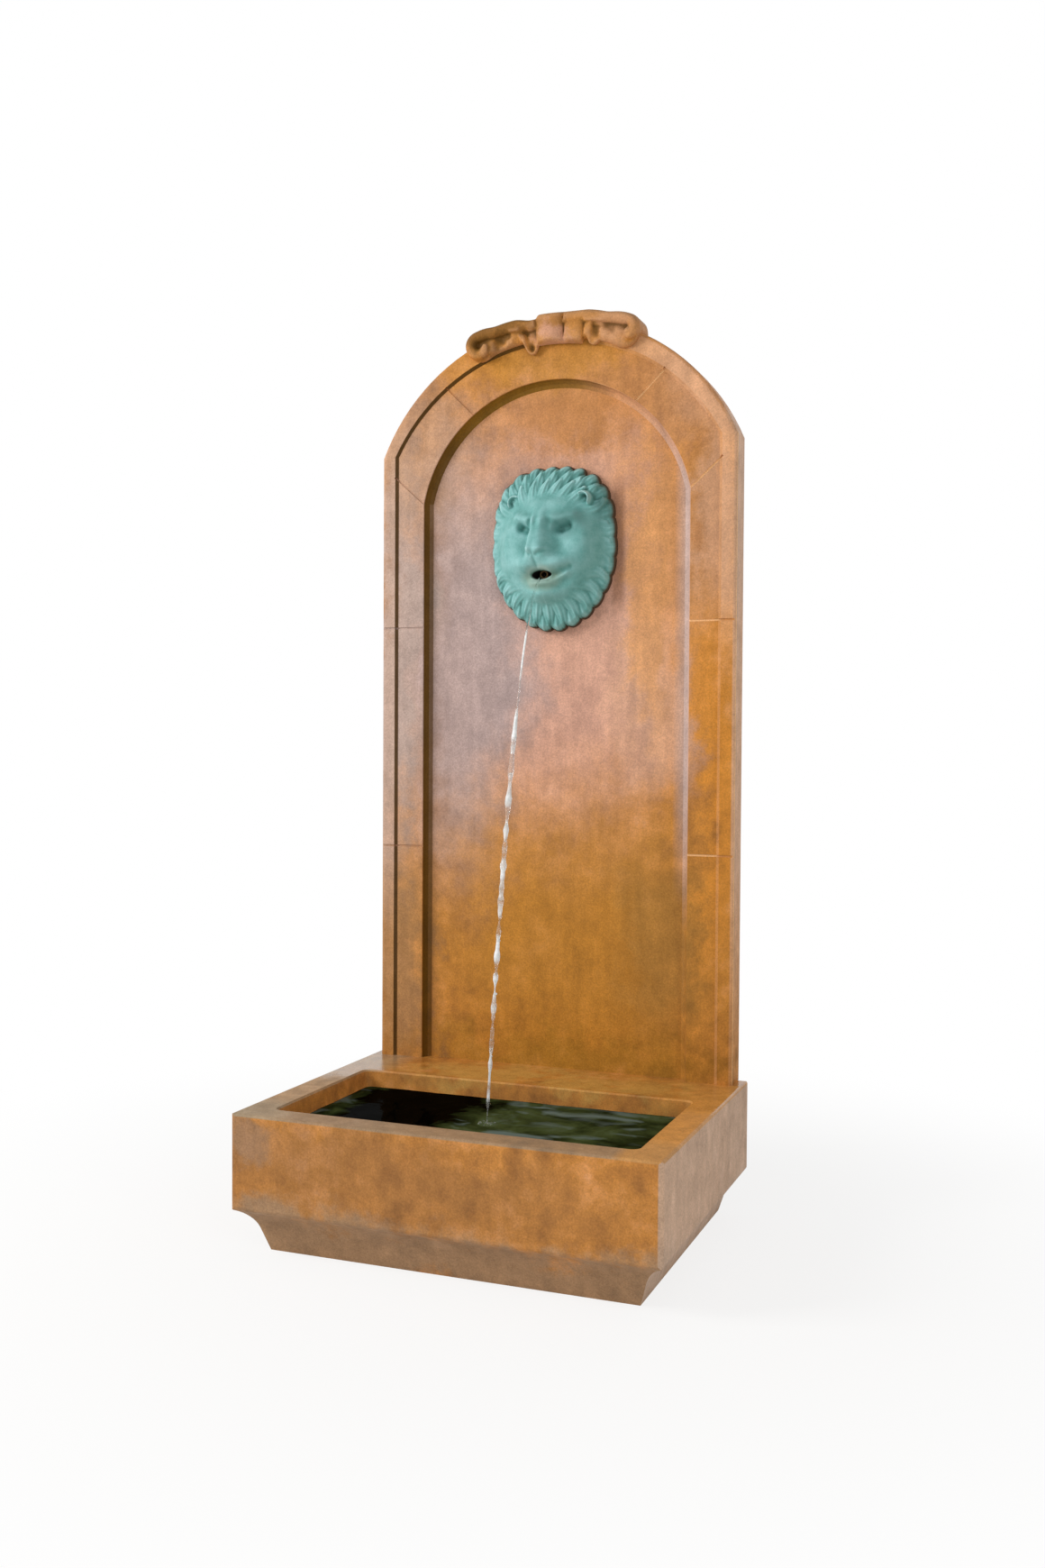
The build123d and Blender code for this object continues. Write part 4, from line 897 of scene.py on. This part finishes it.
# %% Locks of the mane and beard
# A row of the mane: offset of its locks in lock widths, share of the outline at their inner and outer
# ends, half width, height at root and at tip, height of the crown, and angle from the top where it ends.
mane_rows = [
    (0.5, 0.74, 0.985, 15.0, 23, 14, 12, 180),
    (0.0, 0.60, 0.91, 13.0, 34, 24, 10, 64),
    (0.5, 0.50, 0.80, 11.5, 43, 33, 9, 38),
]
side_flatness = 0.62
locks = np.full(u.shape, -np.inf)
made = 0
for offset, inner, outer, width, root, tip, crown, span in mane_rows:
    for i in range(lock_count):
        at = (360 * (i + offset) / lock_count + 180) % 360 - 180
        if abs(at) > span:
            continue
        sideways = math.sin(math.radians(at)) ** 2
        lean = math.copysign(2 + 6 * sideways, at)
        sweep = crown_sweep * max(0.0, math.cos(math.radians(at))) ** 3
        middle = (inner + outer) / 2 + 0.04
        path = [on_mask(inner, at - lean - sweep / 2), on_mask(middle, at + lean / 2),
                on_mask(outer, at + sweep / 2)]
        locks = np.maximum(locks, strand(path, width, root, tip, crown * (1 - side_flatness * sideways)))
        made += 1
beard_half_width, beard_root, beard_tip, beard_crown = 13, 46, 16, 9
for i in range(-5, 6):
    at = 180 + 13 * i
    path = [on_mask(0.60, 180 + 10 * i), on_mask(0.78, at + 2 * i), on_mask(0.975, at)]
    locks = np.maximum(locks, strand(path, beard_half_width, beard_root, beard_tip, beard_crown))
    made += 1
print("locks", made)

# %% Mouth, rim and cavity of the mask
mouth_half_w, mouth_half_h, mouth_z, mouth_depth = 23, 9.5, -57, 30
mouth = 1 - np.abs(aside / mouth_half_w) ** 1.7 - ((v - mouth_z - 0.05 * aside) / mouth_half_h) ** 2
relief = soft_max(soft_max(mane, face, 8), ears, 5)
relief = soft_max(relief, np.maximum(locks, 0), 3)
relief -= mouth_depth * rise(mouth, -0.02, 0.5)
relief *= np.sqrt(np.maximum(0.12, 1 - (np.maximum(0, rho - 0.93) / 0.075) ** 2))
for _ in range(2):
    padded = np.pad(relief, 1, mode="edge")
    beside = padded[2:, 1:-1] + padded[:-2, 1:-1] + padded[1:-1, 2:] + padded[1:-1, :-2]
    relief = 0.5 * relief + 0.125 * beside


def blurred(field, radius, times=3):
    """Box blur of a grid, repeated until it is soft."""
    kernel = np.ones(2 * radius + 1) / (2 * radius + 1)

    def blur_line(values):
        return np.convolve(np.pad(values, radius, mode="edge"), kernel, "valid")

    for _ in range(times):
        for axis in (0, 1):
            field = np.apply_along_axis(blur_line, axis, field)
    return field


cavity = np.clip(0.32 + 0.075 * (relief - blurred(relief, 3)), -0.1, 0.75)
# Painted shade: the notches of the outline at top and bottom and the inside of the mouth count as deep
# cuts, so the finish darkens them.
notch_shade = rise(np.abs(2 * lock_share(turn) - 1), 0.55, 0.95) * rise(rho, 0.84, 0.96) * np.cos(turn) ** 2
cavity -= 0.35 * notch_shade + 0.9 * rise(mouth, 0.0, 0.3)
print("relief from", round(float(relief.min())), "to", round(float(relief.max())), "mm")

# %% Mesh of the mask
# Behind the rim, rings step inwards and close a hollow back: share of the outline, depth before the slab.
back_rings = ((1.0, 0.0), (0.86, 0.0), (0.8, 12.0), (0.5, 34.0))
back_cavity = 0.3
index = np.arange(grid_n ** 2).reshape(grid_n, grid_n)
front = np.stack([u * MM, field_y - relief * MM, mask_mid_z + v * MM], axis=-1).reshape(-1, 3)
quads = np.stack([index[:-1, :-1], index[:-1, 1:], index[1:, 1:], index[1:, :-1]], axis=-1).reshape(-1, 4)
edge = np.concatenate([index[0, :-1], index[:-1, -1], index[-1, :0:-1], index[:0:-1, 0]])
rings, points, count = [edge], [front], len(front)
for share, depth in back_rings:
    ring = front[edge].copy()
    ring[:, 0] *= share
    ring[:, 2] = mask_mid_z + (ring[:, 2] - mask_mid_z) * share
    ring[:, 1] = field_y - depth * MM
    points.append(ring)
    rings.append(np.arange(count, count + len(edge)))
    count += len(edge)
faces = [tuple(q) for q in quads]
for outer, inner in zip(rings, rings[1:]):
    faces += zip(outer, inner, np.roll(inner, -1), np.roll(outer, -1))
points.append(np.array([[0, field_y - back_rings[-1][1] * MM, mask_mid_z]]))
faces += [(a, count, b) for a, b in zip(rings[-1], np.roll(rings[-1], -1))]
lion_mesh = mesh_of("lion", np.concatenate(points), faces)
finish_piece("lion_mask_relief", lion_mesh, lion_finish, ["lion_mask"])
values = np.full(len(lion_mesh.vertices), back_cavity)
values[:grid_n ** 2] = cavity.reshape(-1)
store_cavity(lion_mesh, values)

# %% [markdown]
# ## Water
# A thin stream leaves the lion's mouth level, falls in a parabola and breaks into beads before it meets
# the pool. A fluid simulation would be slow and could differ from run to run. A quadratic Bezier curve
# is exactly a parabola, so Geometry Nodes sweep a tube along one and swell it into beads, and scatter
# drops near it and bubbles where it lands. The pool is a thin closed sheet whose top carries rings that
# spread from that place.

# %% Pool finish
silt_mm, painted_glint_mm, ripple_mm = 110, 130, 26
dark_x, dark_half, dark_end = -0.17, 0.07, 0.16


def pool_finish(name):
    """Murky pool water: dark green with silt, made black left of the middle by painted shade, with painted
    reflections as pale swirls. Clean water would mirror the slab at this flat angle, but silt dulls it, so
    only a thin coat reflects."""
    material, tree, place = new_finish(name)
    silt = add(tree, "ShaderNodeTexNoise", {"Vector": place, "Scale": per_mm(silt_mm), "Detail": 5,
                                            "Roughness": 0.6, "Distortion": 0.8})
    # Painted shade: black in a band left of the middle, lighter away from it.
    across = add(tree, "ShaderNodeSeparateXYZ", {"Vector": place}).outputs["X"]
    beside = add(tree, "ShaderNodeMath", {"Value": across, "Value_001": -dark_x}, operation="ADD")
    beside = add(tree, "ShaderNodeMath", {"Value": beside}, operation="ABSOLUTE")
    light = add(tree, "ShaderNodeMapRange", {"Value": beside, "From Min": dark_half, "From Max": dark_end,
                                             "To Min": -0.3, "To Max": 0.06})
    level = add(tree, "ShaderNodeMath", {"Value": silt, "Value_001": light}, operation="ADD")
    colour = add(tree, "ShaderNodeValToRGB", {"Fac": level}, stops=[
        (0.34, "#020201"), (0.46, "#242C14"), (0.60, "#404A28"), (0.72, "#505C42")])
    drawn = add(tree, "ShaderNodeMapping",
                {"Vector": place, "Rotation": (0, 0, 0.5), "Scale": (1.0, 2.0, 1.0)})
    painted_glints = add(tree, "ShaderNodeTexNoise", {"Vector": drawn, "Scale": per_mm(painted_glint_mm), "Detail": 3,
                                            "Distortion": 1.0})
    # Painted reflections: pale swirls, shown only on the lighter part.
    share = add(tree, "ShaderNodeMath", {"Value": painted_glints, "Value_001": light}, operation="ADD")
    share = add(tree, "ShaderNodeMapRange", {"Value": share, "From Min": 0.54, "From Max": 0.72,
                                             "To Min": 0.0, "To Max": 0.7})
    colour = stained(tree, colour, [("#6C7B76", share)])
    wave = add(tree, "ShaderNodeTexNoise", {"Vector": place, "Scale": per_mm(ripple_mm), "Detail": 3,
                                            "Roughness": 0.5})
    bump = add(tree, "ShaderNodeBump", {"Height": wave, "Strength": 0.25, "Distance": 0.004})
    shader = add(tree, "ShaderNodeBsdfPrincipled",
                 {"Base Color": colour, "Roughness": 0.5, "IOR": 1.33, "Specular IOR Level": 0.0,
                  "Coat Weight": 0.03, "Coat Roughness": 0.05, "Coat IOR": 1.33, "Coat Normal": bump})
    add(tree, "ShaderNodeOutputMaterial", {"Surface": shader})
    return material


pool_water = pool_finish("murky_pool_water")
print(pool_water.name)

# %% Stream finish
patch_mm, foam_mm = 70, 7
clear_over, white_under = 1.15, 1.125


def stream_finish(name):
    """Falling water: glass clear where it leaves the mouth, then white in patches where air is caught.
    An IOR lower than water's softens the lens effect of a round jet, so that the stone shows through."""
    material, tree, place = new_finish(name)
    height = add(tree, "ShaderNodeSeparateXYZ", {"Vector": place}).outputs["Z"]
    fallen = add(tree, "ShaderNodeMapRange",
                 {"Value": height, "From Min": clear_over, "From Max": white_under})
    patch = add(tree, "ShaderNodeTexNoise", {"W": height, "Scale": per_mm(patch_mm), "Detail": 2},
                noise_dimensions="1D")
    patch = add(tree, "ShaderNodeMapRange", {"Value": patch, "From Min": 0.44, "From Max": 0.62,
                                             "To Min": 0.08, "To Max": 0.9})
    first = within(tree, place, "Z", white_under - 0.04, white_under, 0.02)
    patch = add(tree, "ShaderNodeMath", {"Value": patch, "Value_001": first}, operation="MAXIMUM")
    air = add(tree, "ShaderNodeMath", {"Value": patch, "Value_001": fallen}, operation="MULTIPLY")
    clear = add(tree, "ShaderNodeMath", {"Value": 1.0, "Value_001": air}, operation="SUBTRACT")
    foam = add(tree, "ShaderNodeTexNoise", {"Vector": place, "Scale": per_mm(foam_mm), "Detail": 3})
    colour = add(tree, "ShaderNodeValToRGB", {"Fac": foam}, stops=[(0.35, "#E4E8E6"), (0.65, "#FFFFFF")])
    shader = add(tree, "ShaderNodeBsdfPrincipled", {"Base Color": colour, "Roughness": 0.04, "IOR": 1.12,
                                                    "Transmission Weight": clear})
    add(tree, "ShaderNodeOutputMaterial", {"Surface": shader})
    return material


falling_water = stream_finish("falling_water")
print(falling_water.name)

# %% Pool with rings
water_z, water_depth = 0.2225, 0.006
pool_half_x, pool_front, pool_rear = 0.3345, -0.2425, 0.1018
land = np.array([0.0, -0.074])
pool_across, pool_along = 170, 88
grid_x, grid_y = np.meshgrid(np.linspace(-pool_half_x, pool_half_x, pool_across),
                             np.linspace(pool_front, pool_rear, pool_along), indexing="ij")
gap = np.hypot(grid_x - land[0], grid_y - land[1])
ring_length, ring_height, ring_fade, cross_height = 0.034, 0.0010, 0.09, 0.0005
waves = ring_height * np.cos(2 * np.pi * gap / ring_length) * np.exp(-gap / ring_fade)
waves *= rise(gap, 0.004, 0.02)
cross = cross_height * np.sin(grid_x / 0.021 + 1.3 * np.sin(grid_y / 0.05)) * np.sin(grid_y / 0.017 + 0.7)
top_face = np.stack([grid_x, grid_y, water_z + waves + cross], -1)
under = np.stack([grid_x, grid_y, np.full_like(grid_x, water_z - water_depth)], -1)
number = np.arange(pool_across * pool_along).reshape(pool_across, pool_along)
quads = np.stack([number[:-1, :-1], number[1:, :-1], number[1:, 1:], number[:-1, 1:]], -1).reshape(-1, 4)
rim = np.concatenate([number[:-1, 0], number[-1, :-1], number[:0:-1, -1], number[0, :0:-1]])
shift = number.size
faces = [tuple(q) for q in quads] + [tuple(q[::-1] + shift) for q in quads]
faces += [(a, a + shift, b + shift, b) for a, b in zip(rim, np.roll(rim, -1))]
pool_mesh = mesh_of("pool", np.concatenate([top_face.reshape(-1, 3), under.reshape(-1, 3)]), faces)
finish_piece("pool_water", pool_mesh, pool_water)


# %% Helpers for Geometry Nodes
def new_tree(name, inputs):
    """A Geometry Nodes tree that grows its own geometry, with named inputs."""
    tree = bpy.data.node_groups.new(name, "GeometryNodeTree")
    tree.interface.new_socket("Geometry", in_out="OUTPUT", socket_type="NodeSocketGeometry")
    keys = {}
    for label, kind in inputs.items():
        socket = tree.interface.new_socket(label, in_out="INPUT", socket_type="NodeSocket" + kind)
        keys[label] = socket.identifier
    given = tree.nodes.new("NodeGroupInput").outputs
    return tree, keys, given


def grown(tree, keys, values):
    """The plain mesh that a tree grows from its input values."""
    holder = bpy.data.objects.new(tree.name, bpy.data.meshes.new(tree.name))
    scene.collection.objects.link(holder)
    modifier = holder.modifiers.new(tree.name, "NODES")
    modifier.node_group = tree
    for label, value in values.items():
        modifier[keys[label]] = value
    return evaluated(holder)


def close_tree(tree, geometry, finish):
    """Realize, shade smooth, set the finish and send the geometry out."""
    real = add(tree, "GeometryNodeRealizeInstances", {"Geometry": geometry})
    smooth = add(tree, "GeometryNodeSetShadeSmooth", {"Geometry": real})
    done = add(tree, "GeometryNodeSetMaterial", {"Geometry": smooth, "Material": finish})
    add(tree, "NodeGroupOutput", {"Geometry": done})


# %% Path and width of the stream
tree, keys, given = new_tree("stream", {
    "Start": "Vector", "Turn": "Vector", "End": "Vector", "Radius": "Float", "Beading": "Float",
    "Drops": "Int", "Spread": "Float"})
stream_steps, stream_sides, wave_scale = 260, 12, 34.0
curve = add(tree, "GeometryNodeCurveQuadraticBezier",
            {"Resolution": stream_steps, "Start": given["Start"], "Middle": given["Turn"],
             "End": given["End"]})
down = add(tree, "GeometryNodeSplineParameter").outputs["Factor"]
noise = add(tree, "ShaderNodeTexNoise", {"W": down, "Scale": wave_scale, "Detail": 1.0},
            noise_dimensions="1D")
# The jet thins as it speeds up, starts with a neck below the chin, and the beads grow on the way down.
thin, neck, growth, swing = (
    add(tree, "ShaderNodeMapRange",
        {"Value": value, "From Min": start, "From Max": end, "To Min": first, "To Max": last})
    for value, start, end, first, last in ((down, 0.3, 1.0, 1.0, 0.42), (down, 0.28, 0.34, 0.4, 1.0),
                                           (down, 0.3, 0.6, 0.0, 1.0), (noise, 0.3, 0.7, -0.75, 1.1)))
thin = add(tree, "ShaderNodeMath", {"Value": thin, "Value_001": neck}, operation="MULTIPLY")
swing = add(tree, "ShaderNodeMath", {"Value": swing, "Value_001": growth}, operation="MULTIPLY")
swing = add(tree, "ShaderNodeMath", {"Value": swing, "Value_001": given["Beading"], "Value_002": 1.0},
            operation="MULTIPLY_ADD")
width = add(tree, "ShaderNodeMath", {"Value": swing, "Value_001": thin}, operation="MULTIPLY")
width = add(tree, "ShaderNodeMath", {"Value": width, "Value_001": given["Radius"]}, operation="MULTIPLY")
ring = add(tree, "GeometryNodeCurvePrimitiveCircle", {"Resolution": stream_sides, "Radius": 1.0})
tube = add(tree, "GeometryNodeCurveToMesh",
           {"Curve": curve, "Profile Curve": ring, "Scale": width, "Fill Caps": True})
print("stream of", stream_steps, "steps")

# %% Drops beside the stream, and the stream's mesh
drop_least, drop_most = 0.0007, 0.0026
lower = add(tree, "GeometryNodeTrimCurve", {"Curve": curve, "Start": 0.4, "End": 1.0})
spots = add(tree, "GeometryNodeCurveToPoints", {"Curve": lower, "Count": given["Drops"]})
thrown = add(tree, "FunctionNodeRandomValue",
             {"Min": (-1.0, -1.0, -3.0), "Max": (1.0, 1.0, 3.0), "Seed": 7}, data_type="FLOAT_VECTOR")
thrown = add(tree, "ShaderNodeVectorMath", {"Vector": thrown, "Scale": given["Spread"]},
             operation="SCALE")
spots = add(tree, "GeometryNodeSetPosition", {"Geometry": spots, "Offset": thrown})
ball = add(tree, "GeometryNodeMeshIcoSphere", {"Radius": 1.0, "Subdivisions": 2})
sizes = add(tree, "FunctionNodeRandomValue", {"Min_001": drop_least, "Max_001": drop_most, "Seed": 11})
drops = add(tree, "GeometryNodeInstanceOnPoints", {"Points": spots, "Instance": ball, "Scale": sizes})
joined = add(tree, "GeometryNodeJoinGeometry", {"Geometry": drops})
tree.links.new(tube.outputs["Mesh"], joined.inputs["Geometry"])
close_tree(tree, joined, falling_water)
spout_low, spout_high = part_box("spout_tube")
start = Vector((0.0, spout_low.y + 0.002, (spout_low.z + spout_high.z) / 2 - 0.002))
end = Vector((land[0], land[1], water_z))
bend = Vector((0.0, (start.y + end.y) / 2, start.z))
stream_mesh = grown(tree, keys, {"Start": start, "Turn": bend, "End": end, "Radius": 0.0050,
                                 "Beading": 0.8, "Drops": 30, "Spread": 0.004})
finish_piece("falling_stream", stream_mesh, falling_water)

# %% Bubbles where the stream lands
bubble_least = 0.0012
tree, keys, given = new_tree("splash", {
    "Centre": "Vector", "Reach": "Float", "Density": "Float", "Largest": "Float"})
disc = add(tree, "GeometryNodeMeshCircle", {"Vertices": 32, "Radius": given["Reach"]}, fill_type="NGON")
disc = add(tree, "GeometryNodeSetPosition", {"Geometry": disc, "Offset": given["Centre"]})
spots = add(tree, "GeometryNodeDistributePointsOnFaces",
            {"Mesh": disc, "Density": given["Density"], "Seed": 3}).outputs["Points"]
ball = add(tree, "GeometryNodeMeshIcoSphere", {"Radius": 1.0, "Subdivisions": 2})
sizes = add(tree, "FunctionNodeRandomValue",
            {"Min_001": bubble_least, "Max_001": given["Largest"], "Seed": 5})
bubbles = add(tree, "GeometryNodeInstanceOnPoints", {"Points": spots, "Instance": ball, "Scale": sizes})
close_tree(tree, bubbles, falling_water)
splash_mesh = grown(tree, keys, {"Centre": end, "Reach": 0.016, "Density": 20000.0, "Largest": 0.0024})
finish_piece("splash_bubbles", splash_mesh, falling_water)

# %% [markdown]
# ## Working parts
# Behind the slab and under the water are the pump, hose, fixings and drain. Each material is a plain
# one from a plumber's shelf, and one function makes them all: a base colour that drifts to a second one
# over a pattern of a real size, a roughness, and a fine bump. Rolled, wound and layered things stretch
# that pattern along one axis.

# %% Finishes of the working parts
def shop_finish(name, base, drift, pattern_mm, rough, metallic=0.0, stretch=(1, 1, 1), relief=0.2):
    """A moulded, cast, rolled or wound material with colour drift, uneven gloss and fine relief."""
    material, tree, place = new_finish(name)
    laid = add(tree, "ShaderNodeMapping", {"Vector": place, "Scale": stretch})
    broad = add(tree, "ShaderNodeTexNoise",
                {"Vector": laid, "Scale": per_mm(9 * pattern_mm), "Detail": 4})
    fine = add(tree, "ShaderNodeTexNoise", {"Vector": laid, "Scale": per_mm(pattern_mm), "Detail": 3})
    mixed = add(tree, "ShaderNodeMix", {"Factor_Float": 0.4, "A_Float": broad, "B_Float": fine})
    colour = add(tree, "ShaderNodeValToRGB", {"Fac": mixed}, stops=[(0.36, drift), (0.6, base)])
    gloss = add(tree, "ShaderNodeMapRange", {"Value": mixed, "From Min": 0.3, "From Max": 0.7,
                                             "To Min": min(1.0, rough + 0.12), "To Max": rough - 0.06})
    bump = add(tree, "ShaderNodeBump", {"Height": fine, "Strength": relief, "Distance": 0.0006})
    shader = add(tree, "ShaderNodeBsdfPrincipled",
                 {"Base Color": colour, "Roughness": gloss, "Normal": bump, "Metallic": metallic})
    add(tree, "ShaderNodeOutputMaterial", {"Surface": shader})
    return material


# Grain and drawing lines are finer than these sizes, which are as coarse as they need to be to show.
upright, layered = (1, 1, 0.1), (1, 0.05, 0.05)
finishes = {
    # Drawn and polished steel: bright, with faint upright lines.
    "stainless_steel": shop_finish("stainless_steel", "#C6C4BE", "#8E8C86", 0.8, 0.3, 1.0, upright),
    # Brass kept damp: brown tarnish with a dull sheen of metal.
    "brass": shop_finish("tarnished_brass", "#5A4426", "#1E170E", 2.0, 0.55, 0.8),
    # Moulded rubber: charcoal and matt.
    "rubber": shop_finish("black_rubber", "#2A2927", "#191817", 1.2, 0.72),
    # Moulded ABS: near black, with a soft gloss.
    "pump_plastic": shop_finish("black_abs", "#26292C", "#1B1D20", 0.9, 0.42),
    # Moulded PVC: mid grey and smooth.
    "grey_pvc": shop_finish("grey_pvc", "#9A9DA0", "#83878B", 1.5, 0.38),
    # Extruded vinyl: black and glossy, with faint waves along it.
    "vinyl_hose": shop_finish("black_vinyl_hose", "#2B2B2C", "#1D1D1E", 4.0, 0.3, 0.0, (1, 1, 0.3), 0.15),
    # Stacked iron sheets: dark metal whose edges show as fine lines.
    "lamination_iron": shop_finish("laminated_iron", "#6C6A68", "#3A3836", 1.0, 0.5, 0.9, layered, 0.6),
    # Enamelled wire in close turns: shiny copper brown, ribbed.
    "copper_winding": shop_finish("enamelled_copper_wire", "#B5662F", "#6B3517", 0.9, 0.32, 0.9,
                                  layered, 0.7),
    # Pressed and fired ferrite: dull dark grey.
    "ferrite_magnet": shop_finish("ferrite_magnet", "#424245", "#2C2C2E", 0.7, 0.55),
    # Moulded acetal: cream white and waxy.
    "impeller_plastic": shop_finish("white_acetal", "#DAD6CA", "#C7C2B4", 1.0, 0.35),
    # Ground alumina: ivory and very smooth.
    "ceramic_shaft": shop_finish("alumina_ceramic", "#EDE9DF", "#DDD8CC", 0.6, 0.2, relief=0.08),
    # Moulded ABS in blue, so that a hand finds the dial.
    "dial_plastic": shop_finish("blue_abs", "#4673AC", "#385F92", 0.9, 0.4),
    # Moulded rubber: grey and matt.
    "plug_rubber": shop_finish("grey_plug_rubber", "#4A4A48", "#363634", 1.2, 0.68),
}
print("finishes", sorted(finishes))

# %% Finishes onto the CAD nodes that still show
stones = {"back_panel": panel_stone, "basin": trough_stone}
dressed = 0
for part in frame["record"]["subparts"]:
    node = frame["nodes"][part["node"]]
    if node.hide_render:
        continue
    node.data.materials.clear()
    node.data.materials.append(stones.get(part["node"]) or finishes[part["material_slot"]])
    dressed += 1
print("CAD nodes dressed", dressed)

# %% Sizes, and done
sizes = {"cad": [list(c) for c in cad_box], "visual": [list(c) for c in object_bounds()]}
print("visual box", [round(v, 4) for c in sizes["visual"] for v in c])
